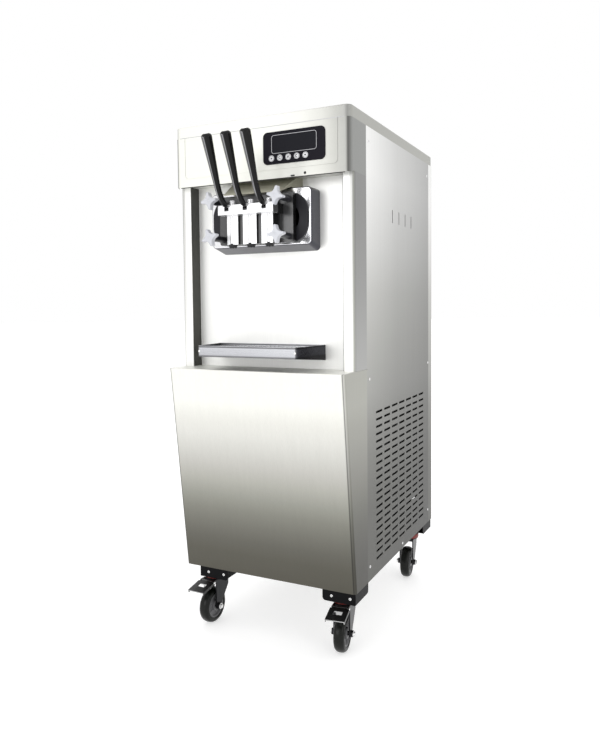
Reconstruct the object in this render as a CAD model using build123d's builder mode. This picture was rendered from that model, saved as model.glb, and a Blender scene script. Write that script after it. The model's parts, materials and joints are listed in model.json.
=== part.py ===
"""Floor-standing soft-serve ice cream machine with three tap handles, on four casters.

Millimetres. +X is the machine's right-hand side seen from the front, +Y points to its back,
+Z is up. The origin is on the floor, below the centre of the whole machine. Heights in this
file are measured from a datum that is DATUM_Z below the floor, and save() takes it off.
"""

import os
from math import cos, radians, sin

from build123d import *

# ---------------------------------------------------------------- driving dimensions
WIDTH = 540.0                   # cabinet width
DATUM_Z = 12.0                  # height of the floor above the datum
HEIGHT = 1465.0                 # top of the rim
BODY_DEPTH = 749.0              # head front to rear wrap
HANDLE_REACH = 170.5            # how far the tap handles stand in front of the head
SHEET = 2.0                     # cabinet sheet thickness

HALF = WIDTH / 2
FRONT = -(BODY_DEPTH - HANDLE_REACH) / 2      # y of the head's front face
BACK = FRONT + BODY_DEPTH                     # y of the rear wrap's back face
PILLAR_Y = FRONT + 25.0         # front of the two pillars
PANEL_Y = FRONT + 64.0          # recessed front panel
SEAM_Y = FRONT + 109.0          # front edge of the side panels
WRAP_Y = FRONT + 704.0          # rear edge of the side panels

BASE_Z = 193.0                  # bottom of the cabinet
LEDGE_Z = 784.0                 # top of the slanted lower panel
HEAD_Z = 1300.0                 # bottom of the head
RIM_Z = 1434.0                  # bottom of the top rim
PILLAR_WIDTH = 34.5

SLANT_TOP_Y = FRONT - 51.0      # lower panel's front, at its top
SLANT_BOTTOM_Y = FRONT + 20.0   # and at its bottom

# dispensing head
TAP_Z = 1190.0                  # axis of the two freezing cylinders
CYLINDER_X = 78.0
PLATE_HALF = 155.0
PLATE_BOTTOM, PLATE_TOP = 1105.0, 1270.0
PLATE_FRONT_BOTTOM = 1119.0     # the plate's underside slopes up to this height
PLATE_Y = FRONT + 10.0          # front face of the chrome plate
FLANGE_Y = PLATE_Y - 6.0        # front face of the gasket
DOOR_Y = FLANGE_Y - 18.0        # front face of the door slab
BLOCK_Y = FRONT - 46.0          # front face of the valve block
BAR_Y = FRONT - 70.0            # front face of the top bar
BLOCK_HALF, BAR_HALF = 70.0, 84.0
BLOCK_BOTTOM, BAR_BOTTOM, BAR_TOP = 1122.0, 1199.0, 1225.0
VALVE_PITCH = 56.5
VALVE_X = [-VALVE_PITCH, 0.0, VALVE_PITCH]
PIVOT_Y, PIVOT_Z = FRONT - 63.0, 1213.0       # tap handle pivot
PLUNGER_Y = PIVOT_Y + 24.0      # axis of the valve plungers
PLUNGER_R = 8.0
KNOB_X, KNOB_Y = 100.0, FRONT - 92.0          # star knobs, front face
KNOB_Z = [TAP_Z - 50.0, TAP_Z + 47.0]
STUD_R = 8.5

# running gear
WHEEL_R, WHEEL_WIDTH = 51.0, 32.0
AXLE_Z = DATUM_Z + WHEEL_R
SWIVEL_X = 210.0
SWIVEL_FRONT_Y, SWIVEL_BACK_Y = FRONT + 86.0, FRONT + 664.0
TRAIL = 24.0                    # swivel axis to wheel axis
SHOE_Z = 162.0                  # underside of the corner shoes
SHOE_INSET = 3.0                # how far the shoes stand inside the cabinet's sides
SHOE_SIZE = 96.0
FIT = 0.05                      # radial clearance of a running fit

# drive
GEARBOX_Y = FRONT + 420.0       # front of the gearbox
BELT_Y = FRONT + 570.0          # middle of the belt
MOTOR_Z = 900.0
GEAR_PULLEY_R, MOTOR_PULLEY_R = 80.0, 36.0

os.makedirs("parts", exist_ok=True)


# ---------------------------------------------------------------- helpers
def save(part, name):
    """Stand a finished piece on the floor, label it and write its STEP file."""
    placed = part.moved(Location((0, 0, -DATUM_Z)))
    placed.label = name
    export_step(placed, f"parts/{name}.step")


def block(x, y, z, mode=Mode.ADD):
    """An axis-aligned block from three (low, high) pairs, added to or cut from the current part."""
    centre = ((x[0] + x[1]) / 2, (y[0] + y[1]) / 2, (z[0] + z[1]) / 2)
    with Locations(centre):
        Box(x[1] - x[0], y[1] - y[0], z[1] - z[0], mode=mode)


def rod(start, direction, radius, length, mode=Mode.ADD):
    """A cylinder from a start point along a direction."""
    along = (Align.CENTER, Align.CENTER, Align.MIN)
    with Locations(Plane(origin=start, z_dir=direction)):
        Cylinder(radius, length, align=along, mode=mode)


def folded_sheet(corners, radii, bottom, top):
    """An upright sheet along a plan-view line given by its middle, folded at each corner."""
    with BuildSketch(Plane.XY.offset(bottom)) as section:
        with BuildLine():
            FilletPolyline(*corners, radius=radii)
        trace(line_width=SHEET)
    add(extrude(section.sketch, amount=top - bottom, mode=Mode.PRIVATE))


def upright(y):
    """The vertical plane at y whose sketches have x to the right and z up."""
    return Plane.XZ.offset(-y)


def profile(x):
    """The vertical plane at x whose sketches have y to the right and z up."""
    return Plane.YZ.offset(x)


WALL_X = HALF - SHEET / 2       # middle of the side walls' sheet
BACKWARD = (0, 1, 0)
FORWARD = (0, -1, 0)
RIGHT = (1, 0, 0)
UP = (0, 0, 1)


# ---------------------------------------------------------------- cabinet
def side_panel(side, name):
    """A flat side sheet with a louvre field, a row of upper vents and screw holes."""
    outer = side * HALF
    inner = side * (HALF - SHEET)
    low, high = min(outer, inner), max(outer, inner)
    columns, rows = 7, 21
    with BuildPart() as panel:
        block((low, high), (SEAM_Y, WRAP_Y), (BASE_Z, RIM_Z))
        with BuildSketch(profile(low)):
            with Locations((FRONT + 410.0, 447.0)):
                with GridLocations(68.6, 20.9, columns, rows):
                    SlotOverall(53.0, 7.0)
            with Locations((FRONT + 415.5, 1216.5)):
                with GridLocations(60.5, 1.0, 4, 1):
                    SlotOverall(39.0, 6.0, rotation=90)
        extrude(amount=SHEET, mode=Mode.SUBTRACT)
        for y, z in SCREW_PLACES:
            rod((low, y, z), RIGHT, SCREW_HOLE_R, SHEET, Mode.SUBTRACT)
    save(panel.part, name)


SCREW_HOLE_R = 2.5
SCREW_PLACES = [
    (FRONT + 128.0, 1395.0),
    (FRONT + 685.0, 1392.0),
    (FRONT + 128.0, 755.0),
    (FRONT + 697.0, 755.0),
    (FRONT + 126.0, 233.0),
    (FRONT + 413.0, 208.0),
    (FRONT + 697.0, 238.0),
]
side_panel(1, "right_side_panel")
side_panel(-1, "left_side_panel")

# Pan-head screws: one in each side panel hole, and two in the outer flange of each corner shoe.
# Each shoe is (side, outer y, way inwards, swivel y, outer x, screw positions).
SHOE_FRONT, SHOE_BACK = SLANT_BOTTOM_Y + SHOE_INSET, BACK - SHOE_INSET
SHOE_SCREW_Z = 178.0
SHOE_X, SHOE_SCREWS = HALF - SHOE_INSET, (198.0, 252.0)
SHOES = [
    (-1, SHOE_FRONT, 1, SWIVEL_FRONT_Y, 226.0, (144.0, 196.0)),
    (1, SHOE_FRONT, 1, SWIVEL_FRONT_Y, SHOE_X, SHOE_SCREWS),
    (-1, SHOE_BACK, -1, SWIVEL_BACK_Y, SHOE_X, SHOE_SCREWS),
    (1, SHOE_BACK, -1, SWIVEL_BACK_Y, SHOE_X, SHOE_SCREWS),
]
HEAD_R, HEAD_TALL = 4.2, 1.8


def pan_head_screw(x, y, z, direction):
    """A screw whose head sits on the surface at (x, y, z)."""
    inward = Vector(direction) * -6.0
    rod(Vector(x, y, z) + inward, direction, SCREW_HOLE_R, 6.0)
    rod((x, y, z), direction, HEAD_R, HEAD_TALL)


with BuildPart() as panel_screws:
    for side in (-1, 1):
        for y, z in SCREW_PLACES:
            pan_head_screw(side * HALF, y, z, (side, 0, 0))
    for side, outer_y, inward, swivel_y, reach, screws in SHOES:
        for x in screws:
            pan_head_screw(side * x, outer_y, SHOE_SCREW_Z, (0, -inward, 0))
    fillet(panel_screws.edges().filter_by(GeomType.CIRCLE).filter_by(lambda e: e.radius > 4.0), 0.7)
save(panel_screws.part, "panel_screws")

# Rear wrap: the back sheet with a return down each side.
MAINS_Z = 260.0
MAINS_R = 9.0
with BuildPart() as rear_panel:
    rear_y = BACK - SHEET / 2
    wrap = [(-WALL_X, WRAP_Y), (-WALL_X, rear_y), (WALL_X, rear_y), (WALL_X, WRAP_Y)]
    folded_sheet(wrap, 6.0, BASE_Z, RIM_Z)
    with BuildSketch(upright(BACK - SHEET)):
        with Locations((0, 980.0)):
            with GridLocations(64.0, 21.0, 6, 12):
                SlotOverall(50.0, 7.0)
    extrude(amount=-SHEET, mode=Mode.SUBTRACT)
    rod((200.0, BACK - SHEET, MAINS_Z), BACKWARD, MAINS_R, SHEET, Mode.SUBTRACT)
save(rear_panel.part, "rear_panel")

# Recessed front panel folded forward into the two pillars, which return along the sides.
with BuildPart() as front_surround:
    inner = HALF - PILLAR_WIDTH + SHEET / 2
    pillar_y, panel_y = PILLAR_Y + SHEET / 2, PANEL_Y + SHEET / 2
    left_half = [(-WALL_X, SEAM_Y), (-WALL_X, pillar_y), (-inner, pillar_y), (-inner, panel_y)]
    right_half = [(-x, y) for x, y in reversed(left_half)]
    folded_sheet(left_half + right_half, [8.0, 3.0, 3.0, 3.0, 3.0, 8.0], LEDGE_Z, HEAD_Z)
    window_x = (12.0 - PLATE_HALF, PLATE_HALF - 12.0)
    window_z = (PLATE_BOTTOM + 9.0, PLATE_TOP - 9.0)
    block(window_x, (PANEL_Y, PANEL_Y + SHEET), window_z, Mode.SUBTRACT)
save(front_surround.part, "front_surround")

# Slanted lower panel: a front sheet, two wedge-shaped sides and the ledge on top.
with BuildPart() as lower_front_panel:
    with BuildSketch(profile(-HALF)):
        with BuildLine():
            Polyline(
                (SLANT_TOP_Y, LEDGE_Z),
                (SLANT_BOTTOM_Y, BASE_Z),
                (SEAM_Y, BASE_Z),
                (SEAM_Y, LEDGE_Z),
                close=True,
            )
        make_face()
    extrude(amount=WIDTH)
    slanted = lower_front_panel.faces().sort_by(Axis.Y)[0]
    fillet(slanted.edges().filter_by(Axis.X, reverse=True), 10.0)
    fillet(lower_front_panel.edges().filter_by(Axis.X).sort_by(Axis.Y)[0], 3.0)
    open_back = lower_front_panel.faces().sort_by(Axis.Y)[-1]
    open_bottom = lower_front_panel.faces().sort_by(Axis.Z)[0]
    offset(amount=-SHEET, openings=[open_back, open_bottom])
save(lower_front_panel.part, "lower_front_panel")

# Head cover: the top front box, with a seam round its front door and a bottom return.
SEAM_HALF, SEAM_BOTTOM, SEAM_GAP = 236.5, 1318.0, 1.8
LIP_Z = HEAD_Z - 4.0
with BuildPart() as head_cover:
    front_y = FRONT + SHEET / 2
    wrap = [(-WALL_X, SEAM_Y), (-WALL_X, front_y), (WALL_X, front_y), (WALL_X, SEAM_Y)]
    folded_sheet(wrap, 15.0, LIP_Z, RIM_Z)
    block((-HALF, HALF), (FRONT + 16.0, SEAM_Y), (LIP_Z, HEAD_Z), Mode.SUBTRACT)
    with BuildSketch(Plane.XY.offset(HEAD_Z)) as bottom_return:
        with Locations((0, (FRONT + PANEL_Y) / 2 + SHEET)):
            Rectangle(WIDTH - 2 * SHEET, PANEL_Y - FRONT)
        fillet(bottom_return.vertices().group_by(Axis.Y)[0], 14.0)
    extrude(amount=SHEET)
    with BuildSketch(upright(FRONT)):
        with Locations((0, (SEAM_BOTTOM + RIM_Z) / 2 + 10.0)):
            RectangleRounded(2 * SEAM_HALF, RIM_Z - SEAM_BOTTOM + 20.0, 12.0)
            offset(amount=-SEAM_GAP, mode=Mode.SUBTRACT)
        with Locations((0, RIM_Z + 60.0)):
            Rectangle(WIDTH, 120.0, mode=Mode.SUBTRACT)
    extrude(amount=-1.0, mode=Mode.SUBTRACT)
save(head_cover.part, "head_cover")

# Top cover: a sheet with a deep rim all round and an opening over the two mix hoppers.
HOPPER_OPENING_HALF = 216.0
HOPPER_FRONT, HOPPER_BACK = FRONT + 92.0, FRONT + 392.0
with BuildPart() as top_rim:
    block((-HALF, HALF), (FRONT, BACK), (RIM_Z, HEIGHT))
    fillet(top_rim.edges().filter_by(Axis.Z), 18.0)
    fillet(top_rim.faces().sort_by(Axis.Z)[-1].edges(), 3.0)
    with BuildSketch(Plane.XY.offset(RIM_Z)):
        with Locations((0, (FRONT + BACK) / 2)):
            RectangleRounded(WIDTH - 2 * SHEET, BODY_DEPTH - 2 * SHEET, 16.0)
    extrude(amount=HEIGHT - RIM_Z - SHEET, mode=Mode.SUBTRACT)
    with BuildSketch(Plane.XY.offset(HEIGHT - SHEET)):
        with Locations((0, (HOPPER_FRONT + HOPPER_BACK) / 2)):
            RectangleRounded(2 * HOPPER_OPENING_HALF, HOPPER_BACK - HOPPER_FRONT, 20.0)
    extrude(amount=SHEET, mode=Mode.SUBTRACT)
save(top_rim.part, "top_rim")

# Base pan, closed below, that carries the refrigeration.
with BuildPart() as base_pan:
    reach = HALF - SHEET - 0.5
    block((-reach, reach), (SLANT_BOTTOM_Y + 12.0, BACK - SHEET - 0.5), (BASE_Z, BASE_Z + 3.0))
    fillet(base_pan.edges().filter_by(Axis.Z), 8.0)
save(base_pan.part, "base_pan")

# Welded base frame of square tube: four posts, a drive deck and two top rails.
POST = 28.0
POST_X = HALF - SHEET - 16.0 - POST / 2
POST_FRONT_Y, POST_BACK_Y = FRONT + 128.0, BACK - 40.0
DRIVE_DECK_Z, HOPPER_DECK_Z = 1040.0, 1262.0
with BuildPart() as base_frame:
    for x in (-POST_X, POST_X):
        for y in (POST_FRONT_Y, POST_BACK_Y):
            post_x, post_y = (x - POST / 2, x + POST / 2), (y - POST / 2, y + POST / 2)
            block(post_x, post_y, (BASE_Z + 3.0, HOPPER_DECK_Z))
    bearer = POST_X - POST / 2
    for y in (POST_FRONT_Y, POST_BACK_Y):
        block((-bearer, bearer), (y - POST / 2, y + POST / 2), (DRIVE_DECK_Z, DRIVE_DECK_Z + POST))
    rail_span = (POST_FRONT_Y + POST / 2, POST_BACK_Y - POST / 2)
    for x in (-POST_X, POST_X):
        for z in (DRIVE_DECK_Z, HOPPER_DECK_Z - POST):
            block((x - POST / 2, x + POST / 2), rail_span, (z, z + POST))
    for y in (GEARBOX_Y + 22.0, GEARBOX_Y + 92.0):
        block((-bearer, bearer), (y - 12.0, y + 12.0), (DRIVE_DECK_Z + 4.0, DRIVE_DECK_Z + POST))
save(base_frame.part, "base_frame")


# ---------------------------------------------------------------- control panel
BEZEL_X, BEZEL_Z = 110.0, 1375.5
BEZEL_WIDTH, BEZEL_HEIGHT = 182.0, 85.0
BUTTON_Z, BUTTON_R, BUTTON_TRAVEL = 1348.5, 8.0, 1.0
BUTTON_X = [BEZEL_X + offset_x for offset_x in (-65.5, -40.5, -15.5, 9.5, 34.5)]
BUTTON_NAMES = ["mix_button", "wash_button", "chill_button", "auto_button", "stop_button"]
with BuildPart() as control_bezel:
    with BuildSketch(upright(FRONT)):
        with Locations((BEZEL_X, BEZEL_Z)):
            RectangleRounded(BEZEL_WIDTH, BEZEL_HEIGHT, 13.0)
    extrude(amount=3.0)
    fillet(control_bezel.faces().sort_by(Axis.Y)[0].edges(), 1.2)
    with BuildSketch(upright(FRONT - 3.0)):
        with Locations((BEZEL_X + 1.0, 1384.5)):
            RectangleRounded(130.0, 46.0, 6.0)
    extrude(amount=-0.6, mode=Mode.SUBTRACT)
    for x in BUTTON_X:
        rod((x, FRONT - 3.0, BUTTON_Z), BACKWARD, BUTTON_R + 0.4, 2.4, Mode.SUBTRACT)
save(control_bezel.part, "control_bezel")

for x, name in zip(BUTTON_X, BUTTON_NAMES):
    with BuildPart() as button:
        rod((x, FRONT - 3.4, BUTTON_Z), BACKWARD, BUTTON_R, 1.6)
        fillet(button.faces().sort_by(Axis.Y)[0].edges(), 0.6)
    save(button.part, name)


# ---------------------------------------------------------------- dispensing head
# Spout hood: a sheet sloping down and forward over the tap, with a gusset on each side.
HOOD_TOP_HALF, HOOD_LOW_HALF = 104.0, 88.0
HOOD_TOP_Z, HOOD_LOW_Z = HEAD_Z, 1256.0
HOOD_LOW_Y = FRONT - 34.0
HOOD_FOOT_Z = 1272.0
with BuildPart() as spout_hood:
    with BuildSketch(Plane.XY.offset(HOOD_LOW_Z)):
        with BuildLine():
            Polyline(
                (-HOOD_TOP_HALF, PANEL_Y),
                (HOOD_TOP_HALF, PANEL_Y),
                (HOOD_LOW_HALF, HOOD_LOW_Y),
                (-HOOD_LOW_HALF, HOOD_LOW_Y),
                close=True,
            )
        make_face()
    extrude(amount=HOOD_TOP_Z - HOOD_LOW_Z)
    with BuildSketch(profile(-HALF)):
        with BuildLine():
            Polyline(
                (HOOD_LOW_Y, HOOD_LOW_Z + 1.5),
                (FRONT + 38.0, HOOD_TOP_Z),
                (PANEL_Y, HOOD_TOP_Z),
                (PANEL_Y, HOOD_FOOT_Z),
                (PLATE_Y, HOOD_FOOT_Z),
                (HOOD_LOW_Y, HOOD_LOW_Z),
                close=True,
            )
        make_face()
    extrude(amount=WIDTH, mode=Mode.INTERSECT)
    with BuildSketch(profile(-HOOD_LOW_HALF + 3.0)):
        with BuildLine():
            Polyline(
                (HOOD_LOW_Y + 2.6, HOOD_LOW_Z + 0.6),
                (FRONT + 37.6, HOOD_TOP_Z - 2.2),
                (PANEL_Y, HOOD_TOP_Z - 2.2),
                (PANEL_Y, HOOD_LOW_Z - 10.0),
                (HOOD_LOW_Y + 2.6, HOOD_LOW_Z - 10.0),
                close=True,
            )
        make_face()
    extrude(amount=2 * HOOD_LOW_HALF - 6.0, mode=Mode.SUBTRACT)
save(spout_hood.part, "spout_hood")

# Chrome face plate: a deep box round the mouths of the two freezing cylinders.
BOSS_R = 50.0
with BuildPart() as face_plate:
    with BuildSketch(profile(-PLATE_HALF)):
        with BuildLine():
            Polyline(
                (PLATE_Y, PLATE_FRONT_BOTTOM),
                (PLATE_Y, PLATE_TOP),
                (PANEL_Y, PLATE_TOP),
                (PANEL_Y, PLATE_BOTTOM),
                close=True,
            )
        make_face()
    extrude(amount=2 * PLATE_HALF)
    crosswise = face_plate.edges().filter_by(Axis.X, reverse=True)
    fillet(crosswise.filter_by(Axis.Z, reverse=True), 12.0)
    fillet(face_plate.faces().sort_by(Axis.Y)[0].edges(), 4.0)
    for x in (-CYLINDER_X, CYLINDER_X):
        rod((x, PLATE_Y, TAP_Z), BACKWARD, BOSS_R + 2.0, PANEL_Y - PLATE_Y, Mode.SUBTRACT)
    for x in (-KNOB_X, KNOB_X):
        for z in KNOB_Z:
            rod((x, PLATE_Y, z), BACKWARD, 5.0, 20.0, Mode.SUBTRACT)
save(face_plate.part, "face_plate")

# Door gasket: a black rubber flange with round ends.
with BuildPart() as door_gasket:
    with BuildSketch(upright(PLATE_Y)):
        with Locations((0, TAP_Z + 0.5)):
            RectangleRounded(294.0, 133.0, 52.0)
    extrude(amount=PLATE_Y - FLANGE_Y)
    fillet(door_gasket.faces().sort_by(Axis.Y)[0].edges(), 2.0)
    for x in (-CYLINDER_X, CYLINDER_X):
        rod((x, FLANGE_Y, TAP_Z), BACKWARD, BOSS_R - 6.0, 6.0, Mode.SUBTRACT)
    for x in (-KNOB_X, KNOB_X):
        for z in KNOB_Z:
            rod((x, FLANGE_Y, z), BACKWARD, 5.0, 6.0, Mode.SUBTRACT)
save(door_gasket.part, "door_gasket")

# Dispensing head: door slab, valve block in three columns, and the top bar with its T slots.
SLAB_HALF, SLAB_BOTTOM, SLAB_TOP = 113.0, 1124.0, 1256.0
COLUMN_GAP = 15.0
HUB_R, HUB_HALF, BLADE_HALF = 4.0, 6.2, 2.6
SLOT_HALF = BLADE_HALF + 0.6
with BuildPart() as dispensing_head:
    with BuildSketch(upright(FLANGE_Y)):
        with Locations((0, (SLAB_BOTTOM + SLAB_TOP) / 2)):
            RectangleRounded(2 * SLAB_HALF, SLAB_TOP - SLAB_BOTTOM, 6.0)
    extrude(amount=FLANGE_Y - DOOR_Y)
    block((-BLOCK_HALF, BLOCK_HALF), (BLOCK_Y, DOOR_Y), (BLOCK_BOTTOM, BAR_BOTTOM))
    block((-BAR_HALF, BAR_HALF), (BAR_Y, DOOR_Y), (BAR_BOTTOM, BAR_TOP))
    fillet(dispensing_head.faces().sort_by(Axis.Y)[0].edges(), 1.5)
    for x in (-VALVE_PITCH / 2, VALVE_PITCH / 2):
        groove = (x - COLUMN_GAP / 2, x + COLUMN_GAP / 2)
        block(groove, (BLOCK_Y, BLOCK_Y + 7.0), (BLOCK_BOTTOM, BAR_BOTTOM), Mode.SUBTRACT)
    for x in VALVE_X:
        bore = BAR_TOP - BLOCK_BOTTOM
        rod((x, PLUNGER_Y, BLOCK_BOTTOM), UP, PLUNGER_R + FIT, bore, Mode.SUBTRACT)
        stem = (x - SLOT_HALF, x + SLOT_HALF)
        block(stem, (BAR_Y, PLUNGER_Y), (PIVOT_Z - HUB_R - 0.6, BAR_TOP), Mode.SUBTRACT)
        pocket = (x - HUB_HALF - 0.5, x + HUB_HALF + 0.5)
        pocket_z = (PIVOT_Z - HUB_R - 0.6, PIVOT_Z + HUB_R + 0.6)
        block(pocket, (BAR_Y, PIVOT_Y + HUB_R + 0.6), pocket_z, Mode.SUBTRACT)
        rod((x, PLUNGER_Y, BLOCK_BOTTOM + 24.0), BACKWARD, 5.0, 50.0, Mode.SUBTRACT)
    rod((-BAR_HALF, PIVOT_Y, PIVOT_Z), RIGHT, 1.8, 2 * BAR_HALF, Mode.SUBTRACT)
    for x in (-KNOB_X, KNOB_X):
        for z in KNOB_Z:
            rod((x, DOOR_Y, z), BACKWARD, STUD_R + 0.2, FLANGE_Y - DOOR_Y, Mode.SUBTRACT)
save(dispensing_head.part, "dispensing_head")

# Pivot pin through the bar, shared by the three tap handles.
with BuildPart() as pivot_pin:
    rod((-BAR_HALF, PIVOT_Y, PIVOT_Z), RIGHT, 1.75, 2 * BAR_HALF)
save(pivot_pin.part, "pivot_pin")

# Studs that the star knobs screw onto; a thinner end sits in each knob and in the face plate.
KNOB_THICK = 15.0
STUD_END_R = 4.5
STUD_LENGTH = FLANGE_Y - KNOB_Y - KNOB_THICK - 0.4
with BuildPart() as knob_studs:
    for x in (-KNOB_X, KNOB_X):
        for z in KNOB_Z:
            rod((x, KNOB_Y + KNOB_THICK + 0.4, z), BACKWARD, STUD_R, STUD_LENGTH)
            rod((x, KNOB_Y + 4.0, z), BACKWARD, STUD_END_R, PLATE_Y + 18.0 - KNOB_Y - 4.0)
save(knob_studs.part, "knob_studs")

# Star knobs with four points and hollow sides; each is left at its own angle.
ARM_LENGTH, ARM_TIP_R = 20.3, 3.6
KNOB_PLACES = [
    ("upper_left_knob", -KNOB_X, KNOB_Z[1], 8.0),
    ("lower_left_knob", -KNOB_X, KNOB_Z[0], 20.0),
    ("upper_right_knob", KNOB_X, KNOB_Z[1], -12.0),
    ("lower_right_knob", KNOB_X, KNOB_Z[0], 4.0),
]
for name, x, z, turn in KNOB_PLACES:
    with BuildPart() as star_knob:
        with BuildSketch(Plane(origin=(x, KNOB_Y, z), x_dir=RIGHT, z_dir=FORWARD)) as star_outline:
            with PolarLocations(0, 4, start_angle=turn):
                tip = [(ARM_LENGTH, -ARM_TIP_R), (ARM_LENGTH, ARM_TIP_R)]
                Polygon((0, -9.0), *tip, (0, 9.0), align=None)
            with PolarLocations(ARM_LENGTH, 4, start_angle=turn):
                Circle(ARM_TIP_R)
            fillet(star_outline.vertices().sort_by_distance((0, 0, 0))[:4], 13.0)
        extrude(amount=-KNOB_THICK)
        fillet(star_knob.faces().sort_by(Axis.Y)[0].edges(), 2.0)
        rod((x, KNOB_Y + KNOB_THICK, z), FORWARD, STUD_END_R + FIT, KNOB_THICK - 3.5, Mode.SUBTRACT)
    save(star_knob.part, name)


# ---------------------------------------------------------------- tap handles and plungers
# Each handle is a blade pinned in the bar's T slot, a bent stem and a swelling grip.
GRIP_LOW, GRIP_HIGH = Vector(0, -52.0, 62.0), Vector(0, -98.0, 180.0)
STEM_R, GRIP_LOW_R, GRIP_HIGH_R = 7.4, 8.6, 14.5
PLUNGER_TIP_R = 3.4
HANDLE_NAMES = ["left_handle", "middle_handle", "right_handle"]
for x, name in zip(VALVE_X, HANDLE_NAMES):
    pivot = Vector(x, PIVOT_Y, PIVOT_Z)
    grip_axis = (GRIP_HIGH - GRIP_LOW).normalized()
    grip_length = (GRIP_HIGH - GRIP_LOW).length
    with BuildPart() as handle:
        rod((x - HUB_HALF, PIVOT_Y, PIVOT_Z), RIGHT, HUB_R, 2 * HUB_HALF)
        with BuildSketch(profile(x - BLADE_HALF)):
            with BuildLine():
                Polyline(
                    (PIVOT_Y + 1.0, PIVOT_Z - 3.6),
                    (PIVOT_Y - 20.0, PIVOT_Z + 9.0),
                    (PIVOT_Y - 26.0, PIVOT_Z + 24.0),
                    (PIVOT_Y - 8.0, PIVOT_Z + 14.0),
                    (PIVOT_Y + 1.0, PIVOT_Z + 3.6),
                    close=True,
                )
            make_face()
        extrude(amount=2 * BLADE_HALF)
        blade = (x - BLADE_HALF, x + BLADE_HALF)
        block(blade, (PIVOT_Y, PLUNGER_Y), (PIVOT_Z - 2.6, PIVOT_Z + 2.6))
        rod((x - BLADE_HALF, PLUNGER_Y, PIVOT_Z), RIGHT, PLUNGER_TIP_R, 2 * BLADE_HALF)
        with BuildLine():
            Bezier(
                pivot + Vector(0, -14.0, 12.0),
                pivot + Vector(0, -33.0, 24.0),
                pivot + GRIP_LOW - grip_axis * 22.0,
                pivot + GRIP_LOW,
            )
        with BuildSketch(Plane(origin=pivot + Vector(0, -14.0, 12.0), z_dir=(0, -19.0, 12.0))):
            Circle(STEM_R)
        with BuildSketch(Plane(origin=pivot + GRIP_LOW, z_dir=grip_axis)):
            Circle(GRIP_LOW_R)
        sweep(multisection=True)
        with BuildSketch(Plane(origin=pivot + GRIP_LOW, z_dir=grip_axis)):
            Circle(GRIP_LOW_R)
        with BuildSketch(Plane(origin=pivot + GRIP_HIGH, z_dir=grip_axis)):
            Circle(GRIP_HIGH_R)
        loft()
        fillet(handle.faces().sort_by(Axis.Z)[-1].edges(), 9.0)
        rod((x - HUB_HALF, PIVOT_Y, PIVOT_Z), RIGHT, 1.75 + FIT, 2 * HUB_HALF, Mode.SUBTRACT)
    save(handle.part, name)

# Valve plungers: a round spool with a notch for the handle's rear arm.
PLUNGER_TOP = 1240.0
for x, name in zip(VALVE_X, ["left_plunger", "middle_plunger", "right_plunger"]):
    with BuildPart() as plunger:
        rod((x, PLUNGER_Y, BLOCK_BOTTOM + 3.0), UP, PLUNGER_R, PLUNGER_TOP - BLOCK_BOTTOM - 3.0)
        notch_x = (x - BLADE_HALF - 0.4, x + BLADE_HALF + 0.4)
        tip_room = PLUNGER_TIP_R + 1.1
        deep, shallow = PLUNGER_Y + 4.4, PLUNGER_Y - 1.0
        low, high = PIVOT_Z - tip_room, PIVOT_Z + tip_room
        block(notch_x, (PLUNGER_Y - PLUNGER_R, deep), (low, high), Mode.SUBTRACT)
        block(notch_x, (PLUNGER_Y - PLUNGER_R, shallow), (PIVOT_Z - 13.0, high), Mode.SUBTRACT)
        fillet(plunger.faces().sort_by(Axis.Z)[-1].edges(), 1.5)
    save(plunger.part, name)


# ---------------------------------------------------------------- mix hoppers and cylinders
HOPPER_WALL = 2.0
HOPPER_SPAN = (12.0, HOPPER_OPENING_HALF - 4.0)
HOPPER_BOTTOM, HOPPER_TOP = 1300.0, HEIGHT - SHEET - 1.0
BARREL_R, BARREL_WALL, JACKET_R = 52.0, 3.0, 66.0
BARREL_BACK = FRONT + 366.0
with BuildPart() as mix_hoppers:
    for side in (-1, 1):
        middle = side * sum(HOPPER_SPAN) / 2
        length = HOPPER_BACK - HOPPER_FRONT - 8.0
        width = HOPPER_SPAN[1] - HOPPER_SPAN[0]
        centre_y = (HOPPER_FRONT + HOPPER_BACK) / 2
        with BuildSketch(Plane.XY.offset(HOPPER_BOTTOM)):
            with Locations((middle, centre_y)):
                RectangleRounded(width, length, 24.0)
        extrude(amount=HOPPER_TOP - HOPPER_BOTTOM)
        with BuildSketch(Plane.XY.offset(HOPPER_BOTTOM + HOPPER_WALL)):
            with Locations((middle, centre_y)):
                RectangleRounded(width - 2 * HOPPER_WALL, length - 2 * HOPPER_WALL, 22.0)
        extrude(amount=HOPPER_TOP - HOPPER_BOTTOM, mode=Mode.SUBTRACT)
        feed = (side * CYLINDER_X, HOPPER_FRONT + 60.0)
        rod((*feed, TAP_Z + JACKET_R - 2.0), UP, 14.0, HOPPER_BOTTOM - TAP_Z - JACKET_R + 2.0)
        rod((*feed, TAP_Z + JACKET_R - 2.0), UP, 11.0, 60.0, Mode.SUBTRACT)
save(mix_hoppers.part, "mix_hoppers")

with BuildPart() as freezing_cylinders:
    for x in (-CYLINDER_X, CYLINDER_X):
        rod((x, PANEL_Y, TAP_Z), BACKWARD, BARREL_R + BARREL_WALL, BARREL_BACK - PANEL_Y)
        rod((x, PANEL_Y + 24.0, TAP_Z), BACKWARD, JACKET_R, BARREL_BACK - PANEL_Y - 44.0)
        rod((x, PANEL_Y, TAP_Z), BACKWARD, BARREL_R, BARREL_BACK - PANEL_Y - 6.0, Mode.SUBTRACT)
        rod((x, PANEL_Y, TAP_Z), BACKWARD, 12.0 + FIT, BARREL_BACK - PANEL_Y, Mode.SUBTRACT)
        rod((x, HOPPER_FRONT + 60.0, TAP_Z), UP, 14.5, JACKET_R, Mode.SUBTRACT)
save(freezing_cylinders.part, "freezing_cylinders")

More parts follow.
